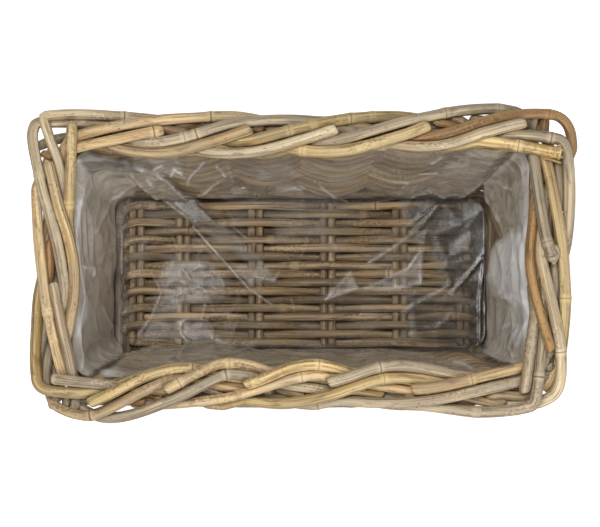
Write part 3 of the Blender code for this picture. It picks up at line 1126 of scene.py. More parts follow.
TOP_CANES = tuple(BorderCane(*row) for row in (
    ((545, 240, 547, 247, 551, 254, 553, 262), GREY, 0.0076, 0.9),
    ((549, 250, 554, 247, 557, 251, 555, 258, 552, 263), GREY, 0.0062, 0.8),
    ((541, 148, 552, 148, 562, 145), YELLOW, 0.0022, 0.9),
    ((538, 152, 552, 152, 563, 150), YELLOW, 0.0026, 0.8),
    ((540, 155, 553, 157, 563, 157), YELLOW, 0.0024, 0.6),
    ((543, 158, 552, 160, 561, 163), YELLOW, 0.0022, 0.4),
    ((530, 146, 545, 150, 560, 153), YELLOW, 0.0022, 1),
))


@dataclass(frozen=True)
class StrandPlan:
    """How the frame leads one kind of border cane, short or long.

    Root rows are along, across and rise in cane steps. Strand rows are along in pitches from the
    middle of the pair, and across and rise in cane steps.
    """

    name: str
    side: int
    canes: dict[int, BorderCane]
    roots: Triples
    strands: Triples
    in_sight: float = 0.8
    tail: Triples = ()

    def rise(self, place: float) -> float:
        """Give the height over the wall's top, in cane steps, at a place along the strand."""
        return float(np.interp(place, [row[0] for row in self.strands], [row[2] for row in self.strands]))


SHORT_PLAN = StrandPlan(
    "short_stake", -1, SHORT_CANES,
    ((-0.5, 0.0, -0.25), (-0.5, -0.4, 0.3), (0.15, -0.85, 0.5)),
    ((0.25, -1.2, 0.55), (0.5, -1.4, 0.55), (0.75, -1.55, 0.85), (1.0, -1.6, 1.66), (1.25, -1.87, 1.76),
     (1.5, -1.33, 1.76), (1.75, -0.25, 1.9), (1.9, 0.2, 1.82)),
)
LONG_PLAN = StrandPlan(
    "long_stake", 1, LONG_CANES,
    ((0.5, 0.0, -0.25), (0.7, 0.0, 0.3), (1.2, -0.06, 0.58)),
    ((0.25, -0.18, 0.63), (0.5, -0.48, 0.63), (0.75, -0.93, 0.78), (1.0, -1.08, 1.71), (1.25, -0.42, 1.76),
     (1.5, 0.42, 1.76), (1.75, 1.27, 1.57), (2.0, 1.81, 0.96), (2.25, 1.98, 0.6), (2.5, 1.98, 0.43),
     (2.75, 1.93, 0.17)),
    tail=((0.25, 1.25, -0.2), (0.5, 0.95, -0.45)),
)


@dataclass
class Settling:
    """Eases canes apart where they would cut through each other, as canes do when they are braided."""

    rounds: int = 90
    renewed_every: int = 10
    clearance: float = 0.1 * MM
    reach: float = 0.014
    flat_share: float = 0.3
    tether: float = 0.0013
    smoothing: float = 0.22
    push: float = 0.5
    crowding: float = 0.6

    def settle(self, routes: list[Array], radii: list[float], loose_above: float,
               firm: int = 0) -> list[Array]:
        """Ease the routes apart.

        Args:
            routes: Each cane's points, about a step apart.
            radii: Each cane's radius.
            loose_above: Height above which the points may move.
            firm: How many of the first routes stay as they are.

        Returns:
            The eased routes.
        """
        owner = np.concatenate([np.full(len(route), index) for index, route in enumerate(routes)])
        radius = np.array(radii)[owner]
        places = np.vstack(routes)
        wanted = places.copy()
        loose = (places[:, 2] > loose_above) & (owner >= firm)
        inner = np.ones(len(places), bool)
        inner[np.flatnonzero(np.diff(owner, prepend=-1))] = False
        inner[np.flatnonzero(np.diff(owner, append=len(routes)))] = False
        for turn in range(self.rounds):
            if turn % self.renewed_every == 0:
                pairs = self.near_pairs(places, owner, loose)
            self.press(places, pairs, radius, loose)
            self.smooth(places, loose & inner)
            away = places[:, :2] - wanted[:, :2]
            far = np.linalg.norm(away, axis=1)
            held = np.minimum(1.0, self.tether / np.maximum(far, self.clearance))
            places[:, :2] = wanted[:, :2] + away * held[:, None]
            places[~loose] = wanted[~loose]
        for _ in range(self.renewed_every):
            self.press(places, pairs, radius, loose)
        LOG.info("border settled with %d near pairs", len(pairs))
        return [places[owner == index] for index in range(len(routes))]

    def near_pairs(self, places: Array, owner: Array, loose: Array) -> Array:
        """List the points of different canes that are near each other.

        Args:
            places: Every point of every cane.
            owner: Each point's cane.
            loose: Whether each point may move.

        Returns:
            Two columns of points' numbers.
        """
        tree = kdtree.KDTree(len(places))
        for index, place in enumerate(places):
            tree.insert(place, index)
        tree.balance()
        found = []
        for index in np.flatnonzero(loose):
            for _, other, _ in tree.find_range(places[index], self.reach):
                if owner[other] != owner[index] and (other > index or not loose[other]):
                    found.append((index, other))
        return np.array(found, int).reshape(-1, 2)

    def press(self, places: Array, pairs: Array, radius: Array, loose: Array) -> None:
        """Push the points of each near pair apart by what they overlap.

        Args:
            places: Every point of every cane, which this moves.
            pairs: The near pairs.
            radius: The radius of each point's cane.
            loose: Whether each point may move.
        """
        first, second = pairs[:, 0], pairs[:, 1]
        gap = places[first] - places[second]
        far = np.maximum(np.linalg.norm(gap, axis=1), 1e-6)
        overlap = radius[first] + radius[second] + self.clearance - far
        close = overlap > 0
        first, second, gap, far, overlap = (row[close] for row in (first, second, gap, far, overlap))
        push = gap / far[:, None] * (overlap * self.push)[:, None]
        push[:, :2] *= self.flat_share
        change = np.zeros_like(places)
        count = np.zeros(len(places))
        for points, way in ((first, 1), (second, -1)):
            np.add.at(change, points, way * push)
            np.add.at(count, points, 1)
        change /= np.maximum(1.0, count ** self.crowding)[:, None]
        places[loose] += change[loose]

    def smooth(self, places: Array, free: Array) -> None:
        """Draw each free point towards the middle of its neighbours."""
        middle = (np.roll(places, 1, axis=0) + np.roll(places, -1, axis=0)) / 2
        places[free] += (middle[free] - places[free]) * self.smoothing


@dataclass
class Border:
    """The stakes that stand round the wall and are laid over into its braided border."""

    cane_step: float = 0.0093
    route_step: float = 0.0025
    ring_step: float = 0.0022
    fine_step: float = 0.0008
    loose_drop: float = 0.006
    hidden_gap: float = 0.2
    search_reach: float = 4.0
    search_steps: int = 161
    under_rise: float = 0.0012
    # Scales down the small canes' tones: on the canes under the braid this is painted shade between the
    # border's canes.
    small_tone_and_shade: float = 0.65
    under_seed: int = 600
    top_rise: float = 0.0170
    packing: tuple[tuple[float, float], ...] = ((0.0045, -0.0045), (0.0096, -0.0020))
    packing_diameter: float = 0.0072
    packing_reach: float = 1.06
    packing_seed: int = 700
    settling: Settling = field(default_factory=Settling)

    def middle(self, pair: int) -> float:
        """Give how many pitches round the wall the middle of a pair stands."""
        return pair - 0.5

    def spot(self, along: float, across: float, rise: float) -> Vector:
        """Find a place by its distance round the rim, and by cane steps outwards and upwards."""
        return RIM.at(along, across * self.cane_step) + Vector((0, 0, rise * self.cane_step))

    def places_ahead(self, point: Vector, pair: int) -> float:
        """Give how many pitches past its pair's middle a point of a cane lies.

        Args:
            point: The point.
            pair: The cane's pair.

        Returns:
            The nearest of evenly spaced places.
        """
        shares = np.linspace(0.0, self.search_reach, self.search_steps)
        middles = [RIM.at((self.middle(pair) + share) * RIM.pitch) for share in shares]
        return float(shares[int(np.argmin([(point - spot).xy.length for spot in middles]))])

    def rough_route(self, plan: StrandPlan, pair: int) -> Array:
        """Lead one cane from the foot of the wall to its end, before the canes are eased apart.

        Args:
            plan: The kind of cane.
            pair: Its pair.

        Returns:
            The route's points.
        """
        cane = plan.canes[pair]
        shown = spots_of(cane.route)
        run = distances_along(np.array(shown, float))
        last = plan.strands[-1][0]
        seen = []
        for (across, down), share in zip(shown, run / run[-1]):
            rise = plan.rise(spread(plan.in_sight, last, float(share)))
            seen.append(VIEW.place(across, down, RIM.height + rise * self.cane_step))
        first_seen, last_seen = (self.places_ahead(seen[end], pair) for end in (0, -1))
        points = [FOOT.at(self.middle(pair) * FOOT.pitch + plan.side * self.cane_step / 2)]
        middle = self.middle(pair) * RIM.pitch
        for along, across, rise in plan.roots:
            points.append(self.spot(middle + along * self.cane_step, across, rise))
        for along, across, rise in plan.strands:
            if along < first_seen - self.hidden_gap:
                points.append(self.spot(middle + along * RIM.pitch, across, rise))
        for along, across, rise in plan.tail:
            seen.append(self.spot(middle + (last_seen + along) * RIM.pitch, across, rise))
        return smooth_route(points + seen, self.route_step)

    def level_route(self, cane: BorderCane, rise: float) -> Array:
        """Lead a short cane where the photograph shows it, at one height over the wall's top."""
        level = RIM.height + rise
        return smooth_route([VIEW.place(*spot, level) for spot in spots_of(cane.route)], self.route_step)

    def fine_route(self, route: Array) -> Array:
        """Draw a settled route in fine steps."""
        return smooth_route([Vector(point) for point in route], self.fine_step)

    def build(self, materials: Materials) -> None:
        """Build and dress every stake of the border.

        Args:
            materials: Each shade's material.
        """
        pairs = range(1, RIM.stake_pairs + 1)
        jobs = [(plan, pair) for pair in pairs for plan in (SHORT_PLAN, LONG_PLAN)]
        rough = [self.rough_route(plan, pair) for plan, pair in jobs]
        radii = [plan.canes[pair].diameter / 2 for plan, pair in jobs]
        routes = self.settling.settle(rough, radii, RIM.height - self.loose_drop)
        for seed, ((plan, pair), route) in enumerate(zip(jobs, routes)):
            cane = plan.canes[pair]
            fine = self.fine_route(route)
            piece = join_canes(f"border_{plan.name}_{pair:02d}", [Cane(
                fine, cane.diameter, seed, step=self.ring_step, tone=cane.tone,
                joints=self.joint_places(cane, fine), tip_share=cane.tip_share, slant=cane.slant,
            )])
            dress(piece, materials[cane.shade], cane.shade.value.slot, f"{plan.name}_{pair:02d}")
        self.build_small(routes, radii, materials)

    def build_small(self, routes: list[Array], radii: list[float], materials: Materials) -> None:
        """Build the ends and lengths that show between the border's canes, and the small canes on top.

        Args:
            routes: The routes of the border's canes.
            radii: The radii of those canes.
            materials: Each shade's material.
        """
        rough = [self.level_route(cane, self.under_rise) for cane in UNDER_CANES]
        every = radii + [cane.diameter / 2 for cane in UNDER_CANES]
        eased = self.settling.settle(routes + rough, every, RIM.height - self.loose_drop, len(routes))
        over = [self.level_route(cane, self.top_rise) for cane in TOP_CANES]
        small = list(zip(UNDER_CANES + TOP_CANES, eased[len(routes):] + over))
        for shade, material in materials.items():
            # One darker tone for all small canes, which is painted shade for those under the braid.
            canes = [
                Cane(self.fine_route(route), cane.diameter, self.under_seed + number, stock=THIN_STOCK,
                     step=self.ring_step, tone=cane.tone * self.small_tone_and_shade)
                for number, (cane, route) in enumerate(small) if cane.shade is shade
            ]
            if shade is GREY:
                canes.extend(self.packing_canes())
            if canes:
                piece = join_canes(f"border_under_{shade.name.lower()}", canes)
                dress(piece, material, shade.value.slot)

    def packing_canes(self) -> list[Cane]:
        """Lay straight canes on the wall's top, outside its stakes, along all four sides.

        Their darkest tones are painted shade for the gaps under the border.

        Returns:
            The canes.
        """
        half_girth = (2 * RIM.flat[0] + RIM.arc) + (2 * RIM.flat[1] + RIM.arc)
        shares = (-self.packing_reach, 0.0, self.packing_reach)
        canes = []
        for side in range(4):
            middle = (side // 2) * half_girth + (side % 2) * half_girth / 2
            half = RIM.flat[side % 2]
            for row, (outwards, rise) in enumerate(self.packing):
                ends = [RIM.at(middle + share * half, outwards) + Vector((0, 0, rise)) for share in shares]
                route = smooth_route(ends, self.route_step)
                # Tones 0 and 0.1: the canes are real, and their darkness is painted shade in the gaps under
                # the border.
                canes.append(Cane(route, self.packing_diameter, self.packing_seed + 2 * side + row,
                                  stock=THIN_STOCK, step=self.ring_step, tone=0.1 * row))
        return canes

    def joint_places(self, cane: BorderCane, route: Array) -> tuple[float, ...]:
        """Find how far along its route a cane has the joints that the photograph shows.

        Args:
            cane: The cane, with its joints.
            route: Its route.

        Returns:
            A distance for each joint.
        """
        found = []
        run = distances_along(route)
        for across, down in spots_of(cane.joints):
            spot = np.array(VIEW.place(across, down, RIM.height + self.cane_step))
            found.append(float(run[int(np.argmin(np.linalg.norm(route[:, :2] - spot[:2], axis=1)))]))
        return tuple(found)


@dataclass
class Wall:
    """The woven wall: two canes that chase each other upwards, each pieced together from lengths."""

    diameter: float = 0.0080
    swing: float = 0.0084
    low: float = 0.0049
    course: float = 0.008317
    breaks: tuple[int, ...] = (0, 42, 85, 128, 171)
    shades: tuple[Shade, Shade] = (Shade.WALL, Shade.TAN)
    shortest: int = 13
    length_choices: int = 12
    slant: float = 0.6
    step: float = 0.0035
    corner_margin: float = 0.05
    packing_margin: float = 0.1
    packing_inset: float = 0.0078
    packing_diameter: float = 0.0072
    packing_seed: int = 500
    end_packing_seed: int = 510
    end_packing_drop: tuple[float, float] = (0.62, 0.1)

    def plan_at(self, station: float, courses: int = 0) -> WallPlan:
        """Give the wall's plan at the height that a cane has at a station, or some courses above it."""
        return WallPlan(self.low + station * 2 * self.course / RIM.stake_pairs + courses * self.course)

    def route(self, first: int, last: int, turned: bool) -> Array:
        """Lead a wall cane past the pairs of stakes from one station to another.

        Args:
            first: The station that it starts at.
            last: The station that it ends at.
            turned: Whether it starts on the other side of the planter.

        Returns:
            The route's points.
        """
        points = []
        for station in range(first, last + 1):
            side = 1 if station % 2 == 0 else -1
            phase = station + 0.5
            points.append(self.passing(station, phase, side))
            if station < last:
                for ahead, spot in self.plan_at(station).corner_marks(phase, self.corner_margin):
                    points.append(self.passing(station + ahead, spot, side * (1 - 2 * ahead)))
        turn = Matrix.Rotation(math.pi, 3, "Z") if turned else Matrix.Identity(3)
        return smooth_route([turn @ point for point in points], self.step / 2)

    def passing(self, station: float, phase: float, side: float) -> Vector:
        """Give where a wall cane passes at a station.

        Args:
            station: The station, which gives the height.
            phase: The place round the wall, in pitches.
            side: From 1, outside the stakes, to -1, inside them.

        Returns:
            The point.
        """
        plan = self.plan_at(station)
        return plan.at(phase * plan.pitch, side * self.swing)

    def build(self, materials: Materials) -> None:
        """Build and dress the wall's eight pieces.

        Args:
            materials: Each shade's material.
        """
        for strand, turned in (("a", False), ("b", True)):
            for part, (first, last) in enumerate(zip(self.breaks, self.breaks[1:])):
                canes = self.lengths(first, last, turned, seed=100 + 40 * part + 7 * turned)
                piece = join_canes(f"woven_wall_{strand}{part + 1}", canes)
                shade = self.shades[part % 2]
                dress(piece, materials[shade], shade.value.slot, f"wall_weaver_{strand}{part + 1}")

    def lengths(self, first: int, last: int, turned: bool, seed: int) -> list[Cane]:
        """Split a piece of the wall into lengths of rattan of different tones.

        Args:
            first: The station that the piece starts at.
            last: The station that it ends at.
            turned: Whether it starts on the other side of the planter.
            seed: What its tones and lengths follow from.

        Returns:
            The lengths.
        """
        canes = []
        start = first
        while start < last:
            run = self.shortest + (seed * 7 + start * 5) % self.length_choices
            end = last if last - (start + run) < self.shortest // 2 else start + run
            tone = 0.1 + 0.9 * ((seed * 0.37 + start * GOLDEN_SHARE) % 1.0)
            diameter = self.diameter * (0.94 + 0.05 * tone)
            canes.append(Cane(self.route(start, end, turned), diameter, seed + start,
                              stock=THIN_STOCK, step=self.step, tone=tone, slant=self.slant))
            start = end
        return canes

    def build_packing(self, material: Material) -> None:
        """Lay canes round the foot of the wall and at its short ends, in the places left free there.

        Args:
            material: The floor canes' material.
        """
        piece = join_canes("foot_packing", self.ring_packing() + self.end_packing())
        dress(piece, material, Shade.FLOOR.value.slot)

    def ring_packing(self) -> list[Cane]:
        """Lead three lengths round the foot of the wall, where its first courses leave room.

        Returns:
            The canes.
        """
        points = []
        for pair in range(RIM.stake_pairs + 1):
            turn = pair % (RIM.stake_pairs // 2)
            plan = self.plan_at(turn, turn % 2)
            points.append(plan.at((pair + 0.5) * plan.pitch, -self.packing_inset))
            if pair < RIM.stake_pairs:
                for _, spot in plan.corner_marks(pair + 0.5, self.packing_margin):
                    points.append(plan.at(spot * plan.pitch, -self.packing_inset))
        stretch = smooth_route(points, self.step / 2)
        third = len(stretch) // 3
        return [
            Cane(stretch[part * third:(part + 1) * third + 1], self.packing_diameter,
                 self.packing_seed + part, stock=THIN_STOCK, step=self.step, tone=0.3 + 0.2 * part)
            for part in range(3)
        ]

    def end_packing(self) -> list[Cane]:
        """Lay two straight canes beside the floor at each short end.

        Returns:
            The canes.
        """
        canes = []
        across = FOOT.half_width - self.packing_inset
        low, climb = self.end_packing_drop
        for side in (-1, 1):
            for row in range(2):
                inset = self.packing_inset + (1.1 + row) * self.packing_diameter
                far, level = side * (FOOT.half_length - inset), self.packing_diameter * (low + climb * row)
                ends = [Vector((far, reach * across, level)) for reach in (-1, 0, 1)]
                canes.append(Cane(smooth_route(ends, self.step / 2), self.packing_diameter,
                                  self.end_packing_seed + side + 3 * row, stock=THIN_STOCK,
                                  step=self.step, tone=0.45 - 0.2 * row))
        return canes


@dataclass
class Floor:
    """The floor: doubled cross sticks, and a cane woven to and fro through them.

    A turn of the cane round the end sticks has the share of the way to the next row and its angle.
    """

    stick_diameter: float = 0.0070
    cane_diameter: float = 0.0076
    stick_count: int = 12
    row_count: int = 17
    turns: tuple[tuple[float, float], ...] = ((0.25, 1.05), (0.5, 0.0), (0.75, -1.05))
    spill: float = 0.0018
    step: float = 0.0035
    stick_seed: int = 300
    cane_seed: int = 400

    def build(self, material: Material) -> None:
        """Build and dress the cross sticks and the woven rows.

        Args:
            material: The floor canes' material.
        """
        slot = Shade.FLOOR.value.slot
        sticks = []
        for number in range(1, self.stick_count + 1):
            low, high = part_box(f"cross_stick_{number:02d}")
            middle = (low + high) / 2
            sticks.append(middle.x)
            ends = [Vector((middle.x, low.y, middle.z)), Vector((middle.x, high.y, middle.z))]
            cane = Cane(smooth_route(ends, self.step), self.stick_diameter, self.stick_seed + number,
                        stock=THIN_STOCK, tone=0.3 + 0.4 * scatter(number))
            piece = join_canes(f"floor_stick_{number:02d}", [cane])
            dress(piece, material, slot, f"cross_stick_{number:02d}")
        places = [(first + second) / 2 for first, second in zip(sticks[::2], sticks[1::2])]
        dress(join_canes("floor_weave", self.rows(places, middle.z)), material, slot, "floor_weaver")

    def rows(self, sticks: list[float], level: float) -> list[Cane]:
        """Lead the floor cane to and fro, with a length of rattan for each row.

        Args:
            sticks: Where the pairs of sticks lie, along X.
            level: The height of the sticks' middle lines.

        Returns:
            The lengths.
        """
        low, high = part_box("floor_weaver")
        reach = high.y - low.y + 2 * self.spill - self.cane_diameter
        pitch = reach / (self.row_count - 1)
        swing = (self.stick_diameter + self.cane_diameter) / 2
        canes, points = [], []
        for row in range(self.row_count):
            heading = 1 if row % 2 == 0 else -1
            across = row * pitch - reach / 2
            for number, stick in list(enumerate(sticks))[::heading]:
                over = 1 if (number + row) % 2 == 0 else -1
                points.append(Vector((stick, across, level + over * swing)))
            edge = heading * (sticks[-1] + self.stick_diameter / 2)
            if row < self.row_count - 1:
                for share, turn in self.turns:
                    points.append(Vector((edge + heading * swing * math.cos(turn), across + share * pitch,
                                          level + over * swing * math.sin(turn))))
            if row > 0:
                canes.append(Cane(smooth_route(points, self.step / 2), self.cane_diameter,
                                  self.cane_seed + row, stock=THIN_STOCK, step=self.step,
                                  tone=scatter(row)))
                points = points[-1:]
        return canes


@dataclass(frozen=True)
class FilmMark:
    """A crease or an edge of the film, where the photograph shows it.

    The line is in the photograph's pixels, and width is its half width there. Lift, in metres, is
    how far it stands off. Haze is how much it hides, from 0 to 1. White is painted highlight and
    reflection, with some of creased film's own paleness, and shade is painted shade, from 0 to 1.
    Floor share is how much of all that is left on the film's floor.
    """

    line: Pixels
    width: float = 1.3
    lift: float = 0.001
    haze: float = 0.35
    white: float = 0.6
    floor_share: float = 0.7
    shade: float = 0.0

    def strength(self, shown: Array) -> Array:
        """Give how strong the mark is at each of the film's points."""
        return np.exp(-(distance_to_line(shown, spots_of(self.line)) / self.width) ** 2)


@dataclass(frozen=True)
class FilmPatch:
    """A part of the film that lies doubled or turned from the light, where the photograph shows it.

    Feather is how many pixels its edge takes, and the rest is as for a mark.
    """

    outline: Pixels
    haze: float
    white: float = 0.0
    feather: float = 3.0
    lift: float = 0.0
    floor_share: float = 1.0
    shade: float = 0.0

    def strength(self, shown: Array) -> Array:
        """Give how strong the patch is at each of the film's points.

        Args:
            shown: The pixels at which the points show.

        Returns:
            A strength of 0 to 1 for each point.
        """
        ring = spots_of(self.outline + self.outline[:2])
        away = distance_to_line(shown, ring)
        inside = np.zeros(len(shown), bool)
        for (left, top), (right, low) in zip(ring, ring[1:]):
            if top != low:
                crossed = left + (shown[:, 1] - top) / (low - top) * (right - left)
                inside ^= ((top > shown[:, 1]) != (low > shown[:, 1])) & (shown[:, 0] < crossed)
        return ease(0.5 + np.where(inside, away, -away) / (2 * self.feather))


def distance_to_line(spots: Array, line: Spots) -> Array:
    """Give each spot's distance to a line of points, in the same units.

    Args:
        spots: The spots, across and down.
        line: The line's points.

    Returns:
        A distance for each spot.
    """
    best = np.full(len(spots), np.inf)
    for start, end in zip(np.array(line[:-1], float), np.array(line[1:], float)):
        run = end - start
        share = np.clip((spots - start) @ run / (run @ run), 0, 1)
        best = np.minimum(best, np.linalg.norm(spots - start - share[:, None] * run, axis=1))
    return best


# Each row gives a patch's or a mark's fields in order, with the points' pixels across and down in turn.
# A row's white is painted highlight and reflection on the film, and its shade is painted shade.
FILM_PATCHES = tuple(FilmPatch(*row) for row in (
    ((60, 145, 128, 158, 137, 180, 124, 225, 124, 290, 112, 300, 122, 360, 60, 392), 0.88, 0.05, 3, 0,
        0.12),
    ((60, 150, 104, 152, 136, 181, 108, 199, 90, 232, 97, 300, 100, 330, 60, 330), 0.06, 0.09),
    ((60, 300, 95, 300, 104, 320, 121, 355, 86, 376, 60, 376), 0.1, 0.09, 4),
    ((114, 158, 124, 160, 127, 177, 112, 170), -0.35, 0, 2.5),
    ((100, 296, 124, 290, 132, 310, 122, 352, 108, 325), 0.35, -0.05, 4, 0, 0.3),
    ((74, 338, 75, 318, 83, 296, 84, 318), 0.1, 0.5, 2),
    ((98, 374, 112, 370, 124, 376, 110, 386), 0.2, 0.4, 2),
    ((60, 392, 112, 373, 125, 360, 155, 351, 192, 344, 240, 342, 330, 345, 400, 351, 450, 363, 480, 374,
        540, 374, 540, 400), 0.62, -0.02, 2.5, 0, 0.1),
    ((135, 140, 330, 140, 480, 140, 530, 145, 505, 168, 484, 178, 466, 190, 453, 198, 431, 187, 405,
        195, 374, 203, 349, 209, 336, 210, 307, 210, 279, 209, 250, 206, 215, 195, 190, 180, 160, 170),
        0.17, 0.14, 2, 0, 0.35),
    ((276, 181, 304, 181, 304, 192, 276, 192), 0.55, -0.05, 4),
    ((232, 182, 248, 182, 248, 191, 232, 191), 0.5, -0.05, 3),
    ((118, 146, 176, 148, 186, 177, 157, 169, 142, 163, 125, 158), 0.42, 0.06, 2.5),
    ((74, 148, 128, 150, 142, 166, 104, 163, 82, 172), 0, 0, 3, 0, 1, 0.62),
    ((404, 204, 440, 200, 482, 204, 486, 262, 478, 300, 452, 292, 440, 262, 418, 236), 0.55, 0, 9, 0, 1,
        1),
    ((404, 290, 440, 300, 480, 302, 484, 352, 430, 350, 410, 330), 0.36, 0, 9, 0, 1, 0.8),
    ((178, 203, 222, 203, 242, 240, 262, 262, 250, 262, 195, 225), 0, 0, 3, 0, 1, 0.6),
    ((474, 200, 490, 196, 488, 350, 478, 350), 0.45, 0, 4, 0, 1, 1),
    ((390, 190, 420, 175, 470, 150, 500, 150, 478, 180, 466, 190, 453, 198, 431, 187, 405, 195), 0.2,
        0.05, 2),
    ((484, 178, 520, 148, 545, 150, 545, 262, 513, 260, 505, 235, 503, 221, 496, 205, 488, 188), 0.78,
        0.06, 2, 0, 0.2),
    ((522, 150, 545, 150, 545, 262, 516, 262, 524, 225, 520, 190), 0.1, 0.3, 5),
    ((495, 254, 503, 240, 520, 225, 545, 240, 545, 372, 500, 364, 484, 356, 482, 300, 488, 284, 493,
        272), 0.86, 0.13, 2, 0, 0.2),
    ((494, 274, 498, 256, 504, 243, 514, 234, 545, 234, 545, 304, 518, 304, 499, 292), 0.05, 0.62, 4),
    ((512, 296, 545, 292, 545, 366, 521, 350, 513, 330), 0.05, 0.36, 5),
    ((484, 257, 480, 290, 472, 296, 451, 296, 459, 285), 0.12, 0.15, 1.5),
    ((125, 161, 137, 178, 153, 192, 171, 208, 188, 219, 195, 225, 219, 223, 200, 205, 188, 194, 172,
        180, 157, 169, 142, 163), 0.72, 0.07, 1.6, 0.002, 0.55),
    ((195, 225, 219, 223, 240, 240, 262, 262, 250, 262, 225, 245), 0.22, 0, 2.5),
    ((172, 262, 205, 260, 223, 277, 224, 297, 200, 302, 175, 302, 158, 290, 162, 270), 0.2, 0.3, 6),
    ((161, 294, 182, 300, 184, 342, 138, 337, 150, 318), 0.16, 0.15, 4),
    ((178, 322, 188, 317, 204, 319, 213, 332, 222, 342, 184, 342), 0.22, 0.25, 4),
    ((326, 299, 351, 272, 358, 288), 0.25, 0.3, 1.5),
    ((365, 290, 400, 272, 421, 252, 422, 284, 400, 290, 380, 292), 0.22, 0.35, 2),
    ((250, 160, 290, 158, 300, 175, 260, 185), 0.12, 0.1, 7),
    ((228, 268, 262, 262, 276, 280, 250, 285), 0.18, 0.35, 3),
))

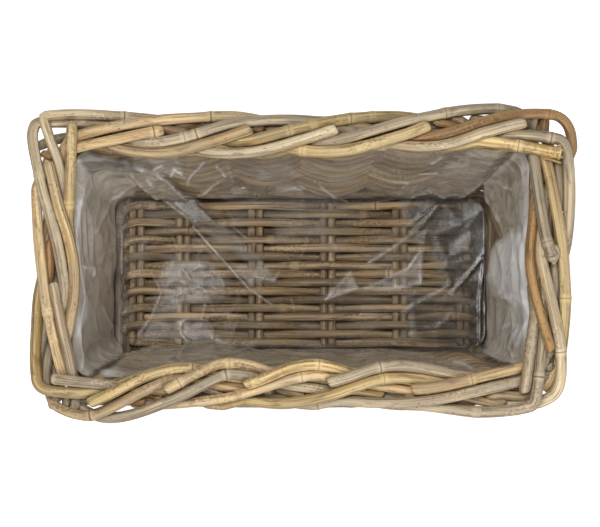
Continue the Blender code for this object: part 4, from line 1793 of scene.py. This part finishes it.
FILM_MARKS = tuple(FilmMark(*row) for row in (
    ((76, 160, 90, 154, 105, 153, 126, 158, 142, 164), 1.6, 0.0015, 0.35, 0.45),
    ((82, 166, 105, 160, 124, 164), 1.2, 0.001, 0.25, 0.3),
    ((76, 200, 74, 240, 79, 280, 82, 300, 76, 330, 80, 372), 1.2, 0.001, 0.3, 0.4),
    ((80, 267, 91, 268, 90, 276), 1, 0.0008, 0.3, 0.5),
    ((136, 181, 108, 199, 90, 232), 1.2, 0.0015, 0.15, 0.12),
    ((122, 235, 121, 270, 125, 290), 1.2, 0.001, 0.2, 0.2),
    ((100, 308, 110, 330, 121, 356), 1.2, 0.0015, 0.15, 0.15),
    ((154, 166, 162, 163), 1.1, 0.001, 0.35, 0.8),
    ((171, 172, 174, 167, 182, 171), 1.1, 0.001, 0.35, 0.8),
    ((187, 181, 189, 174, 204, 159), 1.1, 0.001, 0.35, 0.75),
    ((216, 162, 225, 172), 1.1, 0.001, 0.35, 0.7),
    ((228, 162, 232, 177), 1.1, 0.001, 0.2, 0.4),
    ((198, 190, 206, 187, 218, 178), 1.3, 0.001, 0.3, 0.6),
    ((147, 174, 152, 180), 1.3, 0.001, 0.3, 0.7),
    ((125, 161, 137, 178, 153, 192, 188, 219, 193, 225), 1.2, 0.002, 0.2, 0.25),
    ((157, 169, 188, 194, 217, 215, 259, 248), 1.1, 0.0015, 0.3, 0.4),
    ((193, 227, 220, 257, 249, 289, 272, 305), 1.1, 0.002, 0.6, 0.85),
    ((193, 236, 215, 258, 240, 282), 1, 0.001, 0.15, 0.3),
    ((321, 182, 335, 194, 348, 203), 1.2, 0.0015, 0.4, 0.6),
    ((300, 181, 317, 188), 1.2, 0.001, 0.2, 0.4),
    ((250, 206, 279, 209, 307, 210, 336, 210, 349, 208, 374, 203, 405, 195, 431, 187), 1.1, 0.0015, 0.2,
        0.15),
    ((419, 171, 436, 168), 1.2, 0.001, 0.3, 0.6),
    ((431, 158, 441, 154), 1.6, 0.001, 0.3, 0.5),
    ((390, 179, 407, 178), 1.6, 0.001, 0.25, 0.45),
    ((402, 183, 409, 179), 1.2, 0.001, 0.25, 0.4),
    ((431, 187, 453, 198, 478, 180, 497, 163), 1.1, 0.0015, 0.25, 0.2),
    ((484, 178, 488, 188, 496, 205, 503, 221), 1.1, 0.0015, 0.2, 0.1),
    ((508, 187, 514, 189), 1.2, 0.001, 0.2, 0.5),
    ((529, 160, 532, 200, 530, 225, 524, 245, 524, 290, 531, 318, 520, 345), 1.6, 0.001, 0.2, 0.6),
    ((439, 206, 421, 226, 400, 243, 369, 263), 1.2, 0.0015, 0.45, 0.6),
    ((443, 200, 425, 214, 400, 232), 1, 0.001, 0.15, 0.3),
    ((365, 289, 400, 272, 408, 268, 421, 250), 1.1, 0.0015, 0.4, 0.6),
    ((422, 251, 421, 284), 1, 0.001, 0.3, 0.5),
    ((361, 315, 400, 314, 430, 297, 450, 284), 1.2, 0.0015, 0.4, 0.55),
    ((325, 300, 351, 272), 1.1, 0.0015, 0.35, 0.6),
    ((325, 300, 345, 293, 358, 288), 1.2, 0.0015, 0.35, 0.55),
    ((397, 287, 411, 286), 1.8, 0.001, 0.3, 0.7),
    ((483, 257, 459, 286, 451, 295), 1, 0.0015, 0.16, 0.35),
    ((485, 257, 482, 281, 480, 301, 480, 342, 482, 356), 1.1, 0.0015, 0.14, 0.4),
    ((445, 299, 446, 296), 1.1, 0.0005, 0.3, 0.7),
    ((451, 295, 472, 296), 1, 0.001, 0.25, 0.2),
    ((295, 239, 298, 255), 0.9, 0.0008, 0.15, 0.35),
    ((307, 239, 302, 256), 0.9, 0.0008, 0.2, 0.5),
    ((332, 239, 338, 251), 1.1, 0.0008, 0.25, 0.5),
    ((256, 277, 274, 281, 279, 273), 1.1, 0.001, 0.35, 0.7),
    ((291, 299, 295, 311), 1.2, 0.0008, 0.3, 0.55),
    ((161, 294, 151, 318, 138, 336), 1.1, 0.001, 0.3, 0.45),
    ((151, 271, 160, 289), 1.1, 0.001, 0.25, 0.45),
    ((205, 305, 202, 319), 1.1, 0.001, 0.35, 0.7),
    ((179, 325, 186, 319, 202, 319), 1.2, 0.001, 0.3, 0.55),
    ((183, 270, 188, 276, 190, 281), 1.1, 0.001, 0.25, 0.5),
    ((194, 270, 199, 266, 206, 267), 1.6, 0.001, 0.2, 0.4),
    ((205, 277, 210, 275, 214, 279), 1.1, 0.001, 0.25, 0.55),
    ((221, 279, 224, 284, 222, 294), 1.3, 0.001, 0.2, 0.45),
    ((170, 284, 176, 279, 186, 284), 1.2, 0.001, 0.2, 0.4),
    ((190, 291, 199, 287, 207, 292), 1.4, 0.001, 0.2, 0.35),
    ((176, 296, 184, 292, 182, 301), 1.2, 0.001, 0.2, 0.4),
    ((212, 287, 218, 290), 1.2, 0.001, 0.2, 0.4),
    ((181, 325, 180, 333, 187, 341, 198, 343), 1.3, 0.001, 0.25, 0.3),
    ((207, 321, 214, 330, 211, 341), 1.3, 0.001, 0.2, 0.3),
    ((172, 236, 176, 246, 182, 252), 1.1, 0.001, 0.2, 0.35),
    ((150, 248, 158, 243, 170, 246), 1.1, 0.001, 0.15, 0.3),
    ((400, 338, 412, 334, 419, 340), 1.2, 0.0008, 0.2, 0.35),
    ((121, 361, 155, 352, 192, 344, 219, 351), 1.1, 0.0015, 0.15, 0.12),
    ((192, 345, 178, 362), 1, 0.001, 0.15, 0.2),
    ((455, 366, 464, 368, 470, 372), 1.5, 0.001, 0.3, 0.6),
    ((505, 298, 515, 297, 528, 304), 1.2, 0.001, 0.1, 0.35),
    ((506, 328, 512, 324), 1.6, 0.001, 0.1, 0.45),
    ((520, 330, 512, 346, 516, 358), 1.4, 0.001, 0.1, 0.4),
))


@dataclass
class FilmLiner:
    """The clear film that lines the basket: an open tub, crumpled and folded as it was pressed in."""

    node: str = "film_liner"
    flat: tuple[float, float] = (0.66, 0.47)
    area: float = 0.23
    corner_radius: float = 0.017
    foot_gap: float = 0.001
    rim_gap: float = -0.0035
    floor_lift: float = 0.0012
    cuts: tuple[tuple[int, int], ...] = ((0, 43), (0, 4), (1, 95), (2, 85))
    smooth_rounds: int = 4
    crumple_seed: int = 7
    crumple: float = 0.0028
    crumple_scale: float = 30.0
    crumple_warp: float = 0.7
    billow: float = 0.006
    billow_scale: float = 11.0
    crease_width: float = 0.035
    crease_scale: float = 17.0
    crease_share: float = 0.25
    floor_edge: tuple[float, float] = (0.01, 0.06)
    # Painted shade laid over the film's floor.
    floor_painted_shade: float = 0.25
    floor_part: float = 0.02
    floor_crumple: float = 0.35
    wall_crumple: float = 0.2
    held_foot: float = 0.1
    held_rim: float = 0.12
    roughness: float = 0.2
    gloss: float = 0.4
    relief: float = 0.25
    relief_depth: float = 0.4 * MM
    most_cover: float = 0.93

    def build(self) -> None:
        """Build and dress the film."""
        sheet = self.tub()
        self.round_off(sheet)
        self.crumple_up(sheet)
        dress(sheet, self.material(), "film", self.node)

    def tub(self) -> Object:
        """Model an open box of fine cells.

        Returns:
            The box, 2 along each side.
        """
        deselect()
        bpy.ops.mesh.primitive_cube_add(size=2)
        sheet = bpy.context.object
        sheet.name = "crumpled_film"
        sheet.data.name = "crumpled_film"
        for face in sheet.data.polygons:
            face.select = face.normal.z > 0.5
        with edit_mode():
            bpy.ops.mesh.select_mode(type="FACE")
            bpy.ops.mesh.delete(type="ONLY_FACE")
        for axis, count in self.cuts:
            cut_across(sheet, axis, count)
        return sheet

    def round_off(self, sheet: Object) -> None:
        """Lead the box's cells down the leaning walls, round the corners and over the floor.

        Args:
            sheet: The box.
        """
        low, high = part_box(self.node)
        places = read_places(sheet.data)
        height = low.z + self.floor_lift + (places[:, 2] + 1) / 2 * (high.z - low.z - self.floor_lift)
        rise = (height - FOOT.height) / (RIM.height - FOOT.height)
        room = (RIM.half_length - high.x) + spread(self.foot_gap, self.rim_gap, rise)
        half = np.column_stack([
            spread(FOOT.half_length, RIM.half_length, rise) - room,
            spread(FOOT.half_width, RIM.half_width, rise) - room,
        ])
        spot = places[:, :2] * half
        inner = np.clip(spot, self.corner_radius - half, half - self.corner_radius)
        beyond = spot - inner
        far = np.maximum(np.linalg.norm(beyond, axis=1), 1e-9)
        beyond *= (np.abs(beyond).max(axis=1) / far)[:, None]
        sheet.data.vertices.foreach_set("co", np.column_stack([inner + beyond, height]).ravel())
        choose(sheet)
        with edit_mode():
            bpy.ops.mesh.select_all(action="SELECT")
            for _ in range(self.smooth_rounds):
                bpy.ops.mesh.vertices_smooth(factor=0.5)
            bpy.ops.mesh.normals_make_consistent(inside=True)
        bpy.ops.object.shade_smooth()

    def crumple_up(self, sheet: Object) -> None:
        """Move the cells inwards into billows, creases and the photograph's folds.

        Args:
            sheet: The rounded film.
        """
        mesh = sheet.data
        places = read_places(mesh)
        normals = np.array([tuple(vertex.normal) for vertex in mesh.vertices])
        haze, white, lift, shade = (np.zeros(len(places)) for _ in range(4))
        shown = VIEW.shown_at(places)
        low, high = places[:, 2].min(), places[:, 2].max()
        rise = (places[:, 2] - low) / (high - low)
        upright = ease((rise - self.floor_edge[0]) / self.floor_edge[1])
        # The marks give haze and lift, painted highlights and reflections as white, and painted shade as
        # shade.
        for mark in FILM_PATCHES + FILM_MARKS:
            strength = mark.strength(shown) * spread(mark.floor_share, 1.0, upright)
            haze += mark.haze * strength
            white += mark.white * strength
            lift += mark.lift * strength
            shade += mark.shade * strength
        noise.seed_set(self.crumple_seed)
        crumple = np.array([self.creases(Vector(place)) for place in places])
        free = ease(rise / self.held_foot) * ease((1 - rise) / self.held_rim)
        walls = spread(self.wall_crumple, 1.0, free)
        share = np.where(rise < self.floor_part, self.floor_crumple, walls)
        places += normals * np.maximum(lift + share * crumple[:, 0], 0.0)[:, None]
        places[:, 2] = np.maximum(places[:, 2], low)
        mesh.vertices.foreach_set("co", places.ravel())
        # Stored for the film's colour: white as painted highlights and reflections, and shade as painted
        # shade, with more of it on the film's floor.
        set_attribute(mesh, "haze", haze)
        set_attribute(mesh, "white", white)
        set_attribute(mesh, "crease", crumple[:, 1])
        set_attribute(mesh, "shade", shade + self.floor_painted_shade * (1 - upright))
        mesh.update()

    def creases(self, place: Vector) -> tuple[float, float]:
        """Give how far a point of the film stands off, and how creased it is there.

        Args:
            place: The point.

        Returns:
            The distance, and the crease's strength.
        """
        warp = noise.noise_vector(place * self.billow_scale) * self.crumple_warp
        near, next_near = noise.voronoi(place * self.crumple_scale + warp)[0][:2]
        facet = next_near - near
        broad = 0.5 + 0.5 * noise.noise(place * self.billow_scale)
        creased = max(0.0, noise.noise(place * self.crease_scale) + self.crease_share)
        crease = math.exp(-(facet / self.crease_width) ** 2) * creased
        return self.crumple * (1 - min(facet, 1.0)) + self.billow * broad * broad, crease

    def material(self) -> Material:
        """Build the clear film: hazy where it is doubled or creased, glossy, with painted highlights and
        shade.

        Returns:
            The material.
        """
        made, desk, shader = new_material("film")
        place = desk.add("ShaderNodeTexCoord").outputs["Object"]
        broad = desk.noise(place, (24, 24, 24), 3.0, 0.8)
        fine = desk.noise(place, (140, 140, 140), 4.0, 1.2)
        desk.join(self.colour(desk, broad), shader.inputs["Base Color"])
        desk.join(self.cover(desk, place, broad), shader.inputs["Alpha"])
        desk.join(desk.bump(fine, self.relief, self.relief_depth), shader.inputs["Normal"])
        shader.inputs["Roughness"].default_value = self.roughness
        shader.inputs["Specular IOR Level"].default_value = self.gloss
        return made

    def colour(self, desk: NodeDesk, broad: NodeSocket) -> NodeSocket:
        """Give the film's colour, with painted highlights on its creases and marks, and painted shade.

        Args:
            desk: The material's node desk.
            broad: A broad noise.

        Returns:
            The colour.
        """
        # Painted highlights and reflections, toward near-white: the marks' white, the creases and a little
        # broad noise.
        highlight_paleness = desk.plus(desk.attribute("white"), desk.times(desk.attribute("crease"), 0.3))
        highlight_paleness = desk.plus(highlight_paleness, desk.ramp(broad, 0.35, 0.65, -0.04, 0.06))
        highlight_share = desk.math("MULTIPLY", highlight_paleness, 1.0, clamp=True)
        # Painted shade from the marks and over the film's floor, toward dark brown.
        painted_shade_share = desk.math("MULTIPLY", desk.attribute("shade"), 1.0, clamp=True)
        colour = desk.mix(highlight_share, linear(182, 171, 155), linear(250, 250, 250))
        return desk.mix(painted_shade_share, colour, linear(48, 40, 30))

    def cover(self, desk: NodeDesk, place: object, broad: NodeSocket) -> NodeSocket:
        """Give how much the film hides: more where it is hazy, creased or seen at a low angle.

        Args:
            desk: The material's node desk.
            place: The coordinates, an output.
            broad: A broad noise.

        Returns:
            The film's alpha.
        """
        crinkled = desk.ramp(desk.noise(place, (75, 75, 75), 3.0, 0.9), 0.38, 0.62, 0.72, 1.2)
        cover = desk.times(desk.attribute("haze"), crinkled)
        cover = desk.plus(cover, desk.times(desk.attribute("crease"), 0.12))
        cover = desk.plus(cover, desk.ramp(broad, 0.4, 0.7, 0.0, 0.07))
        edge_on = desk.add("ShaderNodeLayerWeight")
        edge_on.inputs["Blend"].default_value = 0.35
        cover = desk.plus(cover, desk.times(edge_on.outputs["Facing"], 0.15))
        return desk.math("MINIMUM", cover, self.most_cover)


@dataclass
class Studio:
    """The pale floor with a painted shadow under the planter, the soft lights and the camera."""

    floor_size: float = 6.0
    floor_shade: float = 0.86
    floor_roughness: float = 0.9
    floor_glow: float = 0.6
    world_strength: float = 0.085
    key_size: float = 0.85
    key_power: float = 34.0
    key_place: tuple[float, float, float] = (-0.3, 0.4, 2.2)
    fill_size: float = 1.5
    fill_power: float = 28.0
    fill_place: tuple[float, float, float] = (0.5, -1.2, 1.6)
    # A painted shadow, dark brown and without the floor's glow, on the ground under the planter: its half
    # sizes, its soft edge and its colour.
    painted_shadow_reach: tuple[float, float] = (0.176, 0.077)
    painted_shadow_edge: float = 0.008
    painted_shadow_colour: tuple[float, float, float, float] = linear(66, 52, 38)

    def build(self) -> None:
        """Set the stage, the lights, the world and the camera."""
        self.floor()
        self.world()
        self.lamp("key", self.key_place, self.key_size, self.key_power)
        self.lamp("fill", self.fill_place, self.fill_size, self.fill_power)
        VIEW.add_camera()
        bpy.context.scene.view_settings.view_transform = "Standard"

    def floor(self) -> None:
        """Lay a pale floor under the planter, with a painted shadow, dark brown, on the ground that it
        stands on.
        """
        deselect()
        bpy.ops.mesh.primitive_plane_add(size=self.floor_size, location=(0, 0, 0))
        floor = bpy.context.object
        floor.name = "studio_floor"
        made, desk, shader = new_material("studio_floor")
        shader.inputs["Roughness"].default_value = self.floor_roughness
        shader.inputs["Emission Color"].default_value = (1, 1, 1, 1)
        clear = self.outside_painted_shadow(desk)
        pale = (self.floor_shade,) * 3 + (1.0,)
        # Painted shadow under the planter, pale floor on the rest.
        desk.join(desk.mix(clear, self.painted_shadow_colour, pale), shader.inputs["Base Color"])
        glow = desk.times(self.seen(desk), desk.times(clear, self.floor_glow))
        desk.join(glow, shader.inputs["Emission Strength"])
        floor.data.materials.append(made)

    def outside_painted_shadow(self, desk: NodeDesk) -> NodeSocket:
        """Give 0 on the ground that the planter stands on, where the floor's painted shadow lies, and 1 on
        the rest.

        Args:
            desk: The floor's node desk.

        Returns:
            The value.
        """
        axes = desk.add("ShaderNodeSeparateXYZ")
        desk.join(desk.add("ShaderNodeTexCoord").outputs["Object"], axes.inputs[0])
        far = [
            desk.ramp(desk.math("ABSOLUTE", axis), reach - self.painted_shadow_edge, reach)
            for axis, reach in zip(axes.outputs, self.painted_shadow_reach)
        ]
        return desk.math("MAXIMUM", *far)

    def seen(self, desk: NodeDesk) -> NodeSocket:
        """Give 1 for rays that show the background: camera, glossy and transmission rays.

        Args:
            desk: The floor's or the world's node desk.

        Returns:
            The value.
        """
        path = desk.add("ShaderNodeLightPath")
        share = desk.math("MAXIMUM", path.outputs["Is Camera Ray"], path.outputs["Is Glossy Ray"])
        return desk.math("MAXIMUM", share, path.outputs["Is Transmission Ray"])

    def world(self) -> None:
        """Light the scene softly from all round, and show white behind it."""
        world = bpy.data.worlds.new("studio_world")
        world.use_nodes = True
        bpy.context.scene.world = world
        desk = NodeDesk(world.node_tree)
        back = world.node_tree.nodes["Background"]
        back.inputs["Color"].default_value = (1, 1, 1, 1)
        desk.join(desk.ramp(self.seen(desk), 0.0, 1.0, self.world_strength, 1.0), back.inputs["Strength"])

    def lamp(self, name: str, place: tuple[float, float, float], size: float, power: float) -> None:
        """Hang a soft lamp that faces the planter.

        Args:
            name: The lamp's name.
            place: Where it hangs.
            size: The side of its square.
            power: Its power in watts.
        """
        data = bpy.data.lights.new(name, "AREA")
        data.size = size
        data.energy = power
        lamp = bpy.data.objects.new(name, data)
        lamp.location = place
        lamp.rotation_euler = (-Vector(place)).to_track_quat("-Z", "Y").to_euler()
        bpy.context.scene.collection.objects.link(lamp)


def main() -> None:
    """Build the stage, and then the planter piece by piece."""
    logging.basicConfig(level=logging.INFO, format="%(message)s")
    Studio().build()
    surface = RattanSurface().build()
    materials = {shade: shade.value.material(surface) for shade in Shade}
    Border().build(materials)
    wall = Wall()
    wall.build(materials)
    wall.build_packing(materials[Shade.FLOOR])
    Floor().build(materials[Shade.FLOOR])
    FilmLiner().build()


if __name__ == "__main__":
    main()
